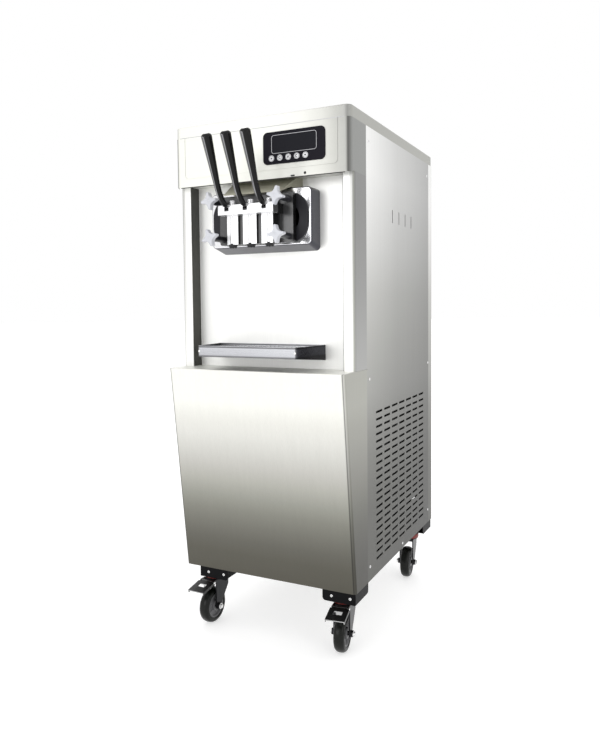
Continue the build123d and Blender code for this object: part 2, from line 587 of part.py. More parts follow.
# Beaters: a shaft, end discs, scraper blades and a spiral of paddles.
BEATER_R = 50.0
BEATER_FRONT, BEATER_BACK = PANEL_Y + 8.0, BARREL_BACK - 12.0
for side, name in ((-1, "left_beater"), (1, "right_beater")):
    x = side * CYLINDER_X
    with BuildPart() as beater:
        rod((x, BEATER_FRONT, TAP_Z), BACKWARD, 9.0, BEATER_BACK - BEATER_FRONT)
        rod((x, BEATER_BACK - 6.0, TAP_Z), BACKWARD, 12.0, GEARBOX_Y - BEATER_BACK + 6.0 + 20.0)
        for y in (BEATER_FRONT, BEATER_BACK - 8.0):
            rod((x, y, TAP_Z), BACKWARD, BEATER_R - 8.0, 8.0)
        paddles = 12
        step = (BEATER_BACK - BEATER_FRONT - 24.0) / paddles
        for index in range(paddles):
            paddle_y = BEATER_FRONT + 12.0 + step * (index + 0.5)
            with Locations(Location((x, paddle_y, TAP_Z), (0, 45.0 * index, 0))):
                Box(2 * BEATER_R - 6.0, 7.0, 16.0)
        middle_y = (BEATER_FRONT + BEATER_BACK) / 2
        for turn in (0, 180):
            with Locations(Location((x, middle_y, TAP_Z), (0, turn + 22.5, 0))):
                with Locations((BEATER_R - 6.0, 0, 0)):
                    Box(8.0, BEATER_BACK - BEATER_FRONT, 6.0)
    save(beater.part, name)

# One lid over both hoppers, with a skirt inside the opening and two finger knobs.
LID_OVERLAP, LID_GAP = 10.0, 1.0
LID_Y = (HOPPER_FRONT + HOPPER_BACK) / 2
HOPPER_OPENING_DEPTH = HOPPER_BACK - HOPPER_FRONT
with BuildPart() as hopper_lid:
    with BuildSketch(Plane.XY.offset(HEIGHT)):
        with Locations((0, LID_Y)):
            RectangleRounded(
                2 * (HOPPER_OPENING_HALF + LID_OVERLAP),
                HOPPER_OPENING_DEPTH + 2 * LID_OVERLAP,
                24.0,
            )
    extrude(amount=2.0)
    with BuildSketch(Plane.XY.offset(HEIGHT)):
        with Locations((0, LID_Y)):
            RectangleRounded(
                2 * (HOPPER_OPENING_HALF - LID_GAP),
                HOPPER_OPENING_DEPTH - 2 * LID_GAP,
                18.0,
            )
            offset(amount=-1.6, mode=Mode.SUBTRACT)
    extrude(amount=-SHEET)
    for side in (-1, 1):
        grip = (side * 110.0, LID_Y, HEIGHT + 2.0)
        rod(grip, UP, 7.0, 9.0)
        rod((*grip[:2], HEIGHT + 11.0), UP, 16.0, 9.0)
save(hopper_lid.part, "hopper_lid")


# ---------------------------------------------------------------- drive
INPUT_X, INPUT_Z = 0.0, TAP_Z - 22.0
PULLEY_WIDTH = 22.0
SHAFT_R = 12.0
with BuildPart() as gearbox:
    foot_z = DRIVE_DECK_Z + POST
    casing_z = foot_z + 18.0
    block((-145.0, 145.0), (GEARBOX_Y, GEARBOX_Y + 115.0), (casing_z, TAP_Z + 62.0))
    fillet(gearbox.edges().filter_by(Axis.Y), 18.0)
    block((-150.0, 150.0), (GEARBOX_Y + 8.0, GEARBOX_Y + 107.0), (foot_z, casing_z))
    for x in (-CYLINDER_X, CYLINDER_X):
        rod((x, GEARBOX_Y, TAP_Z), FORWARD, 26.0, 12.0)
        rod((x, GEARBOX_Y - 12.0, TAP_Z), BACKWARD, SHAFT_R + FIT, 40.0, Mode.SUBTRACT)
    rod((INPUT_X, GEARBOX_Y + 115.0, INPUT_Z), BACKWARD, 24.0, 8.0)
    rod((INPUT_X, GEARBOX_Y + 123.0, INPUT_Z), FORWARD, SHAFT_R + FIT, 40.0, Mode.SUBTRACT)
save(gearbox.part, "gearbox")


def pulley(x, z, radius, shaft_start, shaft_end):
    """A V-belt pulley with three webs' worth of holes, on its own shaft."""
    with BuildPart() as wheel:
        with BuildSketch(profile(x)):
            with BuildLine():
                Polyline(
                    (BELT_Y - PULLEY_WIDTH / 2, z),
                    (BELT_Y - PULLEY_WIDTH / 2, z + radius + 5.0),
                    (BELT_Y - 8.5, z + radius + 5.0),
                    (BELT_Y - 5.5, z + radius - 5.0),
                    (BELT_Y + 5.5, z + radius - 5.0),
                    (BELT_Y + 8.5, z + radius + 5.0),
                    (BELT_Y + PULLEY_WIDTH / 2, z + radius + 5.0),
                    (BELT_Y + PULLEY_WIDTH / 2, z),
                    close=True,
                )
            make_face()
        revolve(axis=Axis((x, 0, z), BACKWARD))
        if radius > 50.0:
            for angle in (30, 150, 270):
                hole_x = x + 0.55 * radius * cos(radians(angle))
                hole_z = z + 0.55 * radius * sin(radians(angle))
                hole = (hole_x, BELT_Y - 20.0, hole_z)
                rod(hole, BACKWARD, 0.22 * radius, 40.0, Mode.SUBTRACT)
        rod((x, shaft_start, z), BACKWARD, SHAFT_R, shaft_end - shaft_start)
    return wheel.part


save(pulley(INPUT_X, INPUT_Z, GEAR_PULLEY_R, GEARBOX_Y + 84.0, BELT_Y + 16.0), "gearbox_pulley")
save(pulley(INPUT_X, MOTOR_Z, MOTOR_PULLEY_R, BELT_Y - 60.0, BELT_Y + 16.0), "motor_pulley")

# V belt: the band between an inner and an outer loop round both pulleys.
BELT_INSIDE, BELT_THICK, BELT_WIDTH = -4.2, 7.5, 9.0
with BuildPart() as drive_belt:
    with BuildSketch(upright(BELT_Y + BELT_WIDTH / 2)):
        with Locations((INPUT_X, INPUT_Z)):
            Circle(GEAR_PULLEY_R + BELT_INSIDE + BELT_THICK)
        with Locations((INPUT_X, MOTOR_Z)):
            Circle(MOTOR_PULLEY_R + BELT_INSIDE + BELT_THICK)
        make_hull()
        with BuildSketch(mode=Mode.SUBTRACT):
            with Locations((INPUT_X, INPUT_Z)):
                Circle(GEAR_PULLEY_R + BELT_INSIDE)
            with Locations((INPUT_X, MOTOR_Z)):
                Circle(MOTOR_PULLEY_R + BELT_INSIDE)
            make_hull()
    extrude(amount=BELT_WIDTH)
save(drive_belt.part, "drive_belt")

MOTOR_R = 85.0
MOTOR_FRONT, MOTOR_BACK = BELT_Y - 270.0, BELT_Y - 28.0
with BuildPart() as drive_motor:
    rod((0, MOTOR_FRONT, MOTOR_Z), BACKWARD, MOTOR_R - 6.0, MOTOR_BACK - MOTOR_FRONT)
    for index in range(24):
        angle = 360.0 / 24 * index
        with Locations(Location((0, (MOTOR_FRONT + MOTOR_BACK) / 2, MOTOR_Z), (0, angle, 0))):
            with Locations((MOTOR_R - 5.0, 0, 0)):
                Box(10.0, MOTOR_BACK - MOTOR_FRONT - 60.0, 3.0)
    rod((0, MOTOR_BACK - 26.0, MOTOR_Z), BACKWARD, MOTOR_R, 26.0)
    rod((0, MOTOR_FRONT, MOTOR_Z), BACKWARD, MOTOR_R, 24.0)
    block((-70.0, 70.0), (MOTOR_FRONT + 40.0, MOTOR_BACK - 40.0), (MOTOR_Z + 70.0, DRIVE_DECK_Z))
    block((60.0, 118.0), (MOTOR_FRONT + 70.0, MOTOR_BACK - 70.0), (MOTOR_Z - 35.0, MOTOR_Z + 35.0))
    rod((0, MOTOR_BACK, MOTOR_Z), FORWARD, SHAFT_R + FIT, 36.0, Mode.SUBTRACT)
save(drive_motor.part, "drive_motor")


# ---------------------------------------------------------------- refrigeration and controls
COMPRESSOR = (-105.0, BACK - 165.0)
PAN_TOP = BASE_Z + 3.0
with BuildPart() as compressor:
    block((-205.0, -5.0), (BACK - 250.0, BACK - 80.0), (PAN_TOP, PAN_TOP + 12.0))
    with BuildSketch(Plane.XY.offset(PAN_TOP + 12.0)):
        with Locations(COMPRESSOR):
            Ellipse(92.0, 76.0)
    extrude(amount=170.0)
    fillet(compressor.faces().sort_by(Axis.Z)[-1].edges(), 40.0)
    rod((COMPRESSOR[0], COMPRESSOR[1] - 60.0, PAN_TOP + 110.0), FORWARD, 5.0, 60.0)
    block((-60.0, 0.0), (BACK - 200.0, BACK - 130.0), (PAN_TOP + 60.0, PAN_TOP + 120.0))
save(compressor.part, "compressor")

# Condenser: a finned block with return bends, behind the right-hand louvres.
CONDENSER_X = (150.0, 205.0)
CONDENSER_Y = (FRONT + 200.0, FRONT + 560.0)
CONDENSER_Z = (PAN_TOP + 24.0, PAN_TOP + 384.0)
with BuildPart() as condenser:
    block(CONDENSER_X, CONDENSER_Y, CONDENSER_Z)
    fins = 30
    pitch = (CONDENSER_Y[1] - CONDENSER_Y[0] - 20.0) / fins
    gap_z = (CONDENSER_Z[0] + 10.0, CONDENSER_Z[1] - 10.0)
    near, far = CONDENSER_X
    for index in range(fins):
        start = CONDENSER_Y[0] + 12.0 + pitch * index
        for gap_x in ((near, near + 14.0), (far - 14.0, far)):
            block(gap_x, (start, start + pitch - 3.0), gap_z, Mode.SUBTRACT)
    for level in range(6):
        z = CONDENSER_Z[0] + 30.0 + 60.0 * level
        for y, direction in ((CONDENSER_Y[0], FORWARD), (CONDENSER_Y[1], BACKWARD)):
            rod((177.0, y, z), direction, 5.0, 14.0)
    foot_y = (CONDENSER_Y[0], CONDENSER_Y[1])
    block((CONDENSER_X[0] + 10.0, CONDENSER_X[1] - 10.0), foot_y, (PAN_TOP, CONDENSER_Z[0]))
save(condenser.part, "condenser")

# Fan motor on a three-armed bracket in a shroud, and the fan that it turns.
FAN_Y, FAN_Z = FRONT + 380.0, PAN_TOP + 204.0
FAN_R = 140.0
SHROUD_X = (88.0, 150.0)
FAN_X = (98.0, 126.0)
with BuildPart() as fan_motor:
    block(SHROUD_X, (FAN_Y - 165.0, FAN_Y + 165.0), (FAN_Z - 165.0, FAN_Z + 165.0))
    rod((SHROUD_X[0], FAN_Y, FAN_Z), RIGHT, FAN_R + 8.0, SHROUD_X[1] - SHROUD_X[0], Mode.SUBTRACT)
    for angle in (90, 210, 330):
        end = (FAN_Y + 154.0 * cos(radians(angle)), FAN_Z + 154.0 * sin(radians(angle)))
        middle = (132.0 + 8.0, (FAN_Y + end[0]) / 2, (FAN_Z + end[1]) / 2)
        with Locations(Location(middle, (angle, 0, 0))):
            Box(12.0, 150.0, 16.0)
    rod((130.0, FAN_Y, FAN_Z), RIGHT, 38.0, 19.0)
    rod((130.0, FAN_Y, FAN_Z), RIGHT, 6.0 + FIT, 14.0, Mode.SUBTRACT)
save(fan_motor.part, "fan_motor")

with BuildPart() as fan_blade:
    rod((FAN_X[0], FAN_Y, FAN_Z), RIGHT, 34.0, FAN_X[1] - FAN_X[0])
    rod((FAN_X[0], FAN_Y, FAN_Z), RIGHT, 6.0, 130.0 + 12.0 - FAN_X[0])
    for index in range(5):
        with Locations(Location(((FAN_X[0] + FAN_X[1]) / 2, FAN_Y, FAN_Z), (72.0 * index, 0, 0))):
            with Locations(Location((0, (FAN_R + 24.0) / 2, 0), (0, 24.0, 0))):
                Box(3.0, FAN_R - 26.0, 62.0)
save(fan_blade.part, "fan_blade")

with BuildPart() as control_box:
    block((-250.0, -210.0), (FRONT + 170.0, FRONT + 400.0), (720.0, 980.0))
    fillet(control_box.edges().filter_by(Axis.X), 10.0)
    for y in (FRONT + 230.0, FRONT + 285.0, FRONT + 340.0):
        rod((-210.0, y, 790.0), RIGHT, 11.0, 16.0)
save(control_box.part, "control_box")


# ---------------------------------------------------------------- drip tray
TRAY_HALF, TRAY_BACK_HALF, TRAY_CORNER = 150.0, 168.0, 7.0
TRAY_FRONT, TRAY_BACK = FRONT - 78.0, PANEL_Y - 0.3
TRAY_TOP, TRAY_FRONT_BOTTOM, TRAY_BACK_BOTTOM = 851.0, 821.0, 809.0
TRAY_WALL, TRAY_LEDGE, GRATE_Z = 2.0, 4.0, 842.0


def tray_plan(height, inset):
    """The tray's outline seen from above, wider at the back, inset all round."""
    rear, front = TRAY_BACK_HALF - inset, TRAY_HALF - inset
    with BuildSketch(Plane.XY.offset(height)) as plan:
        with BuildLine():
            Polyline(
                (-rear, TRAY_BACK - inset),
                (rear, TRAY_BACK - inset),
                (front, TRAY_FRONT + inset),
                (-front, TRAY_FRONT + inset),
                close=True,
            )
        make_face()
        fillet(plan.vertices().group_by(Axis.Y)[0], max(TRAY_CORNER - inset, 1.0))
    return plan.sketch


with BuildPart() as drip_tray:
    extrude(tray_plan(TRAY_BACK_BOTTOM, 0.0), amount=TRAY_TOP - TRAY_BACK_BOTTOM)
    with BuildSketch(profile(-TRAY_BACK_HALF)):
        with BuildLine():
            Polyline(
                (TRAY_FRONT, TRAY_FRONT_BOTTOM),
                (TRAY_BACK, TRAY_BACK_BOTTOM),
                (TRAY_FRONT, TRAY_BACK_BOTTOM),
                close=True,
            )
        make_face()
    extrude(amount=2 * TRAY_BACK_HALF, mode=Mode.SUBTRACT)
    well = TRAY_WALL + TRAY_LEDGE
    floor_z = TRAY_FRONT_BOTTOM + TRAY_WALL
    extrude(tray_plan(floor_z, well), amount=TRAY_TOP - floor_z, mode=Mode.SUBTRACT)
    extrude(tray_plan(GRATE_Z, TRAY_WALL), amount=TRAY_TOP - GRATE_Z, mode=Mode.SUBTRACT)
    fillet(drip_tray.faces().sort_by(Axis.Z)[-1].edges(), 0.5)
save(drip_tray.part, "drip_tray")

with BuildPart() as drip_grate:
    extrude(tray_plan(GRATE_Z, TRAY_WALL + 0.5), amount=2.5)
    with BuildSketch(Plane.XY.offset(GRATE_Z)):
        with Locations((0, (TRAY_FRONT + TRAY_BACK) / 2)):
            with GridLocations(13.5, 62.0, 20, 2):
                SlotOverall(54.0, 6.0, rotation=90)
    extrude(amount=2.5, mode=Mode.SUBTRACT)
save(drip_grate.part, "drip_grate")


# ---------------------------------------------------------------- casters
# Corner shoes: an upright flange along each side of the corner, and a plate with the swivel hole.
SHOE_WALL, SHOE_PLATE = 3.0, 4.0
PIN_R, BOSS_SIZE = 7.0, 16.0
with BuildPart() as caster_brackets:
    for side, outer_y, inward, swivel_y, reach, screws in SHOES:
        flanges = (
            (upright(outer_y), side * reach, -side, -inward),
            (profile(side * reach), outer_y, inward, -side),
        )
        for plane, corner, way, depth in flanges:
            with BuildSketch(plane):
                middle = corner + way * SHOE_SIZE / 2
                with Locations((middle, (SHOE_Z + BASE_Z) / 2)):
                    RectangleRounded(SHOE_SIZE, BASE_Z - SHOE_Z, 9.0)
                with Locations((middle, BASE_Z - 6.0)):
                    Rectangle(SHOE_SIZE, 12.0)
                with Locations((corner + way * 10.0, (SHOE_Z + BASE_Z) / 2)):
                    Rectangle(20.0, BASE_Z - SHOE_Z)
            extrude(amount=depth * SHOE_WALL)
        plate_x = (side * (reach - SHOE_SIZE + 9.0), side * reach)
        plate_y = (outer_y, outer_y + inward * (SHOE_SIZE - 9.0))
        block(sorted(plate_x), sorted(plate_y), (SHOE_Z, SHOE_Z + SHOE_PLATE))
        boss = (side * SWIVEL_X, swivel_y, SHOE_Z)
        rod(boss, UP, BOSS_SIZE, BASE_Z - SHOE_Z)
        rod(boss, UP, PIN_R + FIT, 20.0, Mode.SUBTRACT)
        for x in screws:
            drill = (side * x, outer_y, SHOE_SCREW_Z)
            rod(drill, (0, inward, 0), SCREW_HOLE_R, 6.0, Mode.SUBTRACT)
    corners = [(side * reach, outer_y) for side, outer_y, _, _, reach, _ in SHOES]
    fillet(
        caster_brackets.edges().filter_by(Axis.Z).filter_by(
            lambda edge: any(
                abs(edge.center().X - x) + abs(edge.center().Y - y) < 0.01 for x, y in corners
            )
        ),
        2.5,
    )
save(caster_brackets.part, "caster_brackets")

LEG_IN, LEG_OUT = 20.0, 24.0
AXLE_R = 6.0
CROWN_Z = 137.0
PEDAL_Y, PEDAL_Z = -46.0, 140.0
# Each caster is (corner, swivel x, swivel y, degrees turned at rest, has a brake).
CASTERS = [
    ("front_left", -SWIVEL_X, SWIVEL_FRONT_Y, -2.0, True),
    ("front_right", SWIVEL_X, SWIVEL_FRONT_Y, 8.0, True),
    ("rear_left", -SWIVEL_X, SWIVEL_BACK_Y, 5.0, False),
    ("rear_right", SWIVEL_X, SWIVEL_BACK_Y, 6.0, False),
]
for corner, x, y, steer, braked in CASTERS:
    place = Location((x, y, 0), (0, 0, steer))

    # The fork is drawn about its swivel axis, trailing towards -Y, and then placed.
    with BuildPart() as fork:
        rod((0, 0, CROWN_Z + 5.0), UP, 33.0, SHOE_Z - 0.5 - CROWN_Z - 5.0)
        rod((0, 0, SHOE_Z - 1.0), UP, PIN_R, 20.0)
        block((-LEG_OUT, LEG_OUT), (-34.0, 28.0), (CROWN_Z, CROWN_Z + 6.0))
        for side in (-1, 1):
            with BuildSketch(profile(side * LEG_IN)):
                with BuildLine():
                    Polyline(
                        (-34.0, CROWN_Z + 6.0),
                        (-34.0, 112.0),
                        (-TRAIL - 11.0, AXLE_Z),
                        (-TRAIL + 11.0, AXLE_Z),
                        (26.0, 114.0),
                        (28.0, CROWN_Z + 6.0),
                        close=True,
                    )
                make_face()
                with Locations((-TRAIL, AXLE_Z)):
                    Circle(11.0)
            extrude(amount=side * (LEG_OUT - LEG_IN))
            rod((side * LEG_OUT, -TRAIL, AXLE_Z), (side, 0, 0), 9.0, 6.0)
        rod((-LEG_OUT, -TRAIL, AXLE_Z), RIGHT, AXLE_R, 2 * LEG_OUT)
        if braked:
            for side in (-1, 1):
                ear = (side * 21.0, side * LEG_OUT)
                block((min(ear), max(ear)), (PEDAL_Y - 5.0, -30.0), (PEDAL_Z - 5.0, PEDAL_Z + 5.0))
            rod((-LEG_OUT, PEDAL_Y, PEDAL_Z), RIGHT, 2.5, 2 * LEG_OUT)
    save(fork.part.moved(place), f"{corner}_fork")

    with BuildPart() as wheel:
        rod((-WHEEL_WIDTH / 2, -TRAIL, AXLE_Z), RIGHT, WHEEL_R, WHEEL_WIDTH)
        fillet(wheel.edges().filter_by(GeomType.CIRCLE), 7.0)
        for side in (-1, 1):
            face_x = side * WHEEL_WIDTH / 2
            rod((face_x, -TRAIL, AXLE_Z), (-side, 0, 0), 34.0, 5.0, Mode.SUBTRACT)
            rod((face_x - side * 6.0, -TRAIL, AXLE_Z), (side, 0, 0), 15.0, 9.0)
        rod((-WHEEL_WIDTH, -TRAIL, AXLE_Z), RIGHT, AXLE_R + FIT, 2 * WHEEL_WIDTH, Mode.SUBTRACT)
    save(wheel.part.moved(place), f"{corner}_wheel")

# Brake pedals: a sprung steel plate hinged on the front forks, with a brake tongue over the tyre.
PEDAL_SLOPE = 11.0
for corner, x, y, steer, braked in CASTERS:
    if not braked:
        continue
    place = Location((x, y, 0), (0, 0, steer))
    with BuildPart() as pedal:
        rod((-20.6, PEDAL_Y, PEDAL_Z), RIGHT, 5.0, 41.2)
        block((-12.0, 12.0), (PEDAL_Y - 2.0, PEDAL_Y + 2.0), (PEDAL_Z - 20.0, PEDAL_Z))
        with Locations(Location((0, PEDAL_Y - 34.0, PEDAL_Z - 3.8), (PEDAL_SLOPE, 0, 0))):
            Box(54.0, 54.0, 2.5)
            with Locations((0, 23.0, 0)):
                Box(40.0, 22.0, 2.5)
            with Locations((0, 6.0, 0)):
                Box(24.0, 14.0, 10.0, mode=Mode.SUBTRACT)
            with Locations((-25.8, 0, -3.0), (25.8, 0, -3.0)):
                Box(2.4, 54.0, 6.0)
        rod((-20.6, PEDAL_Y, PEDAL_Z), RIGHT, 2.5 + FIT, 41.2, Mode.SUBTRACT)
    save(pedal.part.moved(place), f"{corner}_pedal")
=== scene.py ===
"""Floor-standing soft-serve machine: materials, fine details, studio and camera, in metres."""

import json
from math import cos, pi, radians, sin

import bmesh
import bpy
from mathutils import Matrix, Vector


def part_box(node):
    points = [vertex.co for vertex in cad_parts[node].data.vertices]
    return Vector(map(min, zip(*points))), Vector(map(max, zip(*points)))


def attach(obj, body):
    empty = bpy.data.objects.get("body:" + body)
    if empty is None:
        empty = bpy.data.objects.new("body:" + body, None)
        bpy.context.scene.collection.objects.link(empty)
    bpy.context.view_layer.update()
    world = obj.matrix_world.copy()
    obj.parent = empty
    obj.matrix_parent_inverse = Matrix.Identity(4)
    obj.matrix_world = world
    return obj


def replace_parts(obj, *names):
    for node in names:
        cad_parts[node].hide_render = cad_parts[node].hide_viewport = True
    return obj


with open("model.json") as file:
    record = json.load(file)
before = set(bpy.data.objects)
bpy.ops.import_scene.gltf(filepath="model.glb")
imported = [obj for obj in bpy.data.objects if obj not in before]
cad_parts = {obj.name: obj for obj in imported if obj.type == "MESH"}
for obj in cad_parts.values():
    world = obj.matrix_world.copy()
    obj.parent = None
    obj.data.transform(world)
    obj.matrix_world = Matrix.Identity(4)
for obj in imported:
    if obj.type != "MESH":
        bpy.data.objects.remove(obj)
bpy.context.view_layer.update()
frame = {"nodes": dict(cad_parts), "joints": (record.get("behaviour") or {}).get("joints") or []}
NODES = frame["nodes"]
SIDES = (-1, 1)
CORNERS = ("front_left", "front_right", "rear_left", "rear_right")
MM = 0.001
SHARP_EDGE = radians(35)

X, Y, Z = Vector((1, 0, 0)), Vector((0, 1, 0)), Vector((0, 0, 1))


def centre(node):
    """The middle of a CAD node's box."""
    low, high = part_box(node)
    return (Vector(low) + Vector(high)) / 2


# ---------------------------------------------------------------- materials
# A colour Mix node's factor, its two colours and its result, by place.
MIX_FACTOR, MIX_FIRST, MIX_SECOND, MIX_RESULT = 0, 6, 7, 2


def add_node(tree, kind, links=(), **settings):
    """A node with settings; links is a list of (input name, value or output socket)."""
    made = tree.nodes.new(kind)
    for key, value in settings.items():
        setattr(made, key, value)
    for key, value in links:
        if isinstance(value, bpy.types.NodeSocket):
            tree.links.new(value, made.inputs[key])
        else:
            made.inputs[key].default_value = value
    return made


def ramp(tree, source, stops):
    """A colour ramp over a 0-1 value; stops are (position, grey or colour)."""
    made = add_node(tree, "ShaderNodeValToRGB", [("Fac", source)])
    keys = made.color_ramp.elements
    while len(keys) < len(stops):
        keys.new(1.0)
    for key, (position, value) in zip(keys, stops):
        key.position = position
        key.color = (*value, 1) if isinstance(value, tuple) else (value, value, value, 1)
    return made.outputs["Color"]


def multiply(tree, first, second):
    """Two colours multiplied together."""
    made = add_node(tree, "ShaderNodeMix", data_type="RGBA", blend_type="MULTIPLY")
    made.inputs[MIX_FACTOR].default_value = 1.0
    for socket, value in ((made.inputs[MIX_FIRST], first), (made.inputs[MIX_SECOND], second)):
        if isinstance(value, bpy.types.NodeSocket):
            tree.links.new(value, socket)
        else:
            socket.default_value = (*value, 1)
    return made.outputs[MIX_RESULT]


def grain(tree, scale, detail=3.0, rough=0.6):
    """A noise stretched along an axis, as brushing or moulding marks; scale is per metre."""
    place = add_node(tree, "ShaderNodeTexCoord")
    stretch = add_node(
        tree, "ShaderNodeMapping", [("Vector", place.outputs["Object"]), ("Scale", scale)]
    )
    noise = add_node(
        tree,
        "ShaderNodeTexNoise",
        [("Vector", stretch.outputs["Vector"]), ("Scale", 1.0), ("Detail", detail),
         ("Roughness", rough)],
    )
    return noise.outputs["Fac"]


def coordinate(tree, output, axis):
    """One component of the object-space position or normal."""
    place = add_node(tree, "ShaderNodeTexCoord")
    parts = add_node(tree, "ShaderNodeSeparateXYZ", [("Vector", place.outputs[output])])
    return parts.outputs[axis]


def size_of(tree, value):
    """A value without its sign."""
    return add_node(tree, "ShaderNodeMath", [(0, value)], operation="ABSOLUTE").outputs[0]


def by_position(axis, low, high, stops):
    """A tint that changes along an axis of the frame, from low to high."""
    def tint(tree):
        scaled = add_node(
            tree,
            "ShaderNodeMapRange",
            [("Value", coordinate(tree, "Object", axis)), ("From Min", low), ("From Max", high)],
        )
        return ramp(tree, scaled.outputs["Result"], stops)
    return tint


def by_turn(axis, stops):
    """A tint that changes as the surface turns to face either way along an axis."""
    return lambda tree: ramp(tree, size_of(tree, coordinate(tree, "Normal", axis)), stops)


def by_facing(direction, stops):
    """A tint that changes as the surface turns towards a direction in the frame."""
    def tint(tree):
        place = add_node(tree, "ShaderNodeTexCoord")
        facing = add_node(
            tree,
            "ShaderNodeVectorMath",
            [(0, place.outputs["Normal"]), (1, Vector(direction).normalized())],
            operation="DOT_PRODUCT",
        )
        return ramp(tree, facing.outputs["Value"], stops)
    return tint


def pillar_painted_shade(tree):
    """Painted shade: dark inner faces and grey outer faces on the two pillars, for how light falls
    on their sides.
    """
    sideways = size_of(tree, coordinate(tree, "Normal", "X"))
    inner = ramp(tree, sideways, [(0.3, 1.0), (0.8, (0.050, 0.050, 0.043))])
    outer = ramp(tree, sideways, [(0.2, 1.0), (0.6, (0.42, 0.43, 0.39)), (0.9, 0.37)])
    outer = multiply(tree, outer, OUTER_PAINTED_SHADE(tree))
    scaled = add_node(
        tree,
        "ShaderNodeMapRange",
        [("Value", size_of(tree, coordinate(tree, "Object", "X"))), ("From Min", HALF_WIDTH),
         ("From Max", HALF_WIDTH + 3.0 * MM)],
    )
    made = add_node(tree, "ShaderNodeMix", data_type="RGBA")
    tree.links.new(scaled.outputs["Result"], made.inputs[MIX_FACTOR])
    tree.links.new(inner, made.inputs[MIX_FIRST])
    tree.links.new(outer, made.inputs[MIX_SECOND])
    return made.outputs[MIX_RESULT]


def finish(
    name, colour, rough, metallic=0.0, scale=(300.0, 300.0, 300.0), spread=0.06,
    bump=0.0002, tints=(), coat=0.0, rough_spread=0.05, specular=0.5
):
    """A finish with a fine and a broad grain that vary its colour, roughness and surface."""
    made = bpy.data.materials.new(name)
    made.use_nodes = True
    tree = made.node_tree
    shader = tree.nodes["Principled BSDF"]
    marks = grain(tree, scale)
    broad = grain(tree, tuple(value / 9.0 for value in scale))
    paint = multiply(tree, colour, ramp(tree, marks, [(0.3, 1.0 - spread), (0.7, 1.0)]))
    paint = multiply(tree, paint, ramp(tree, broad, [(0.3, 1.0 - spread / 2), (0.7, 1.0)]))
    # The tints multiply painted shade, painted highlights and painted reflections into the colour.
    for tint in tints:
        paint = multiply(tree, paint, tint(tree))
    tree.links.new(paint, shader.inputs["Base Color"])
    change = add_node(
        tree,
        "ShaderNodeMapRange",
        [("Value", marks), ("From Min", 0.25), ("From Max", 0.75),
         ("To Min", max(rough - rough_spread, 0.02)), ("To Max", rough + rough_spread)],
    )
    tree.links.new(change.outputs["Result"], shader.inputs["Roughness"])
    relief = add_node(
        tree, "ShaderNodeBump", [("Height", marks), ("Strength", 0.35), ("Distance", bump)]
    )
    tree.links.new(relief.outputs["Normal"], shader.inputs["Normal"])
    shader.inputs["Metallic"].default_value = metallic
    shader.inputs["Coat Weight"].default_value = coat
    shader.inputs["Specular IOR Level"].default_value = specular
    return made


HEAD_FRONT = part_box("dispensing_head")[0][1]
FRONT_FACE, BACK_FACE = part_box("head_cover")[0][1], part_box("rear_panel")[1][1]
VERTICAL = (700.0, 700.0, 3.0)
ACROSS = (3.0, 700.0, 700.0)
DEPTHWISE = (700.0, 5.0, 700.0)
FINE = (500.0, 500.0, 500.0)
# The heights and half widths that the tints run between.
SIDE_FOOT, SIDE_TOP = 0.178, 1.428
PANEL_FOOT, PANEL_TOP, PILLAR_TOP = 0.181, 0.772, 1.288
TRAY_UNDER, TRAY_RIM = 0.809, 0.839
HALF_WIDTH = 0.255

# Painted reflection and shade on the side and rear sheets: dark at the foot, near white at the
# top.
SIDE_PAINTED_REFLECTION = by_position("Z", SIDE_FOOT, SIDE_TOP, [
    (0.0, (0.075, 0.075, 0.066)), (0.16, (0.092, 0.092, 0.082)), (0.21, (0.117, 0.117, 0.105)),
    (0.32, (0.20, 0.20, 0.187)), (0.42, (0.33, 0.33, 0.315)), (0.53, (0.423, 0.423, 0.405)),
    (0.64, (0.543, 0.543, 0.525)), (0.74, (0.705, 0.705, 0.695)), (0.90, (0.91, 0.91, 0.905)),
])
# Painted shade on the side sheets, darker towards the back.
SIDE_PAINTED_DEPTH_SHADE = by_position("Y", FRONT_FACE + 0.11, BACK_FACE, [
    (0.0, 1.0), (0.4, 0.68), (1.0, 0.43),
])
# Painted reflection on the lower front panel: near white at the top, dark towards the floor.
PANEL_PAINTED_REFLECTION = by_position("Z", PANEL_FOOT, PANEL_TOP, [
    (0.0, (0.09, 0.085, 0.068)), (0.10, (0.102, 0.098, 0.080)), (0.17, (0.128, 0.125, 0.107)),
    (0.25, (0.18, 0.178, 0.156)), (0.32, (0.24, 0.24, 0.212)), (0.39, (0.326, 0.33, 0.297)),
    (0.47, (0.452, 0.45, 0.418)), (0.54, (0.552, 0.547, 0.524)), (0.62, (0.665, 0.665, 0.642)),
    (0.69, (0.76, 0.76, 0.737)), (0.76, (0.83, 0.83, 0.802)), (0.85, (0.96, 0.965, 0.935)),
])
# Painted shade across the head and rim fronts, lightest in the middle and darker towards the
# sides.
HEAD_PAINTED_SHADE_ACROSS = by_position("X", 0.0, HALF_WIDTH, [
    (0.0, (0.88, 0.885, 0.845)), (0.5, (0.76, 0.76, 0.735)), (0.75, (0.62, 0.62, 0.597)),
    (0.9, (0.47, 0.47, 0.452)), (1.0, (0.41, 0.41, 0.40)),
])
# Painted light in the recess: faces set back from the pillars' fronts are painted brighter than
# the fronts.
PILLAR_RECESS_PAINTED_LIGHT = by_position("Y", FRONT_FACE + 0.002, FRONT_FACE + 0.03, [
    (0.0, (0.82, 0.82, 0.79)), (1.0, 1.0),
])
# Painted shade on the pillars' outer faces, darker towards their tops.
OUTER_PAINTED_SHADE = by_position("Z", PANEL_TOP, PILLAR_TOP, [
    (0.0, 1.0), (0.12, 0.95), (0.4, 0.80), (0.85, 0.65),
])
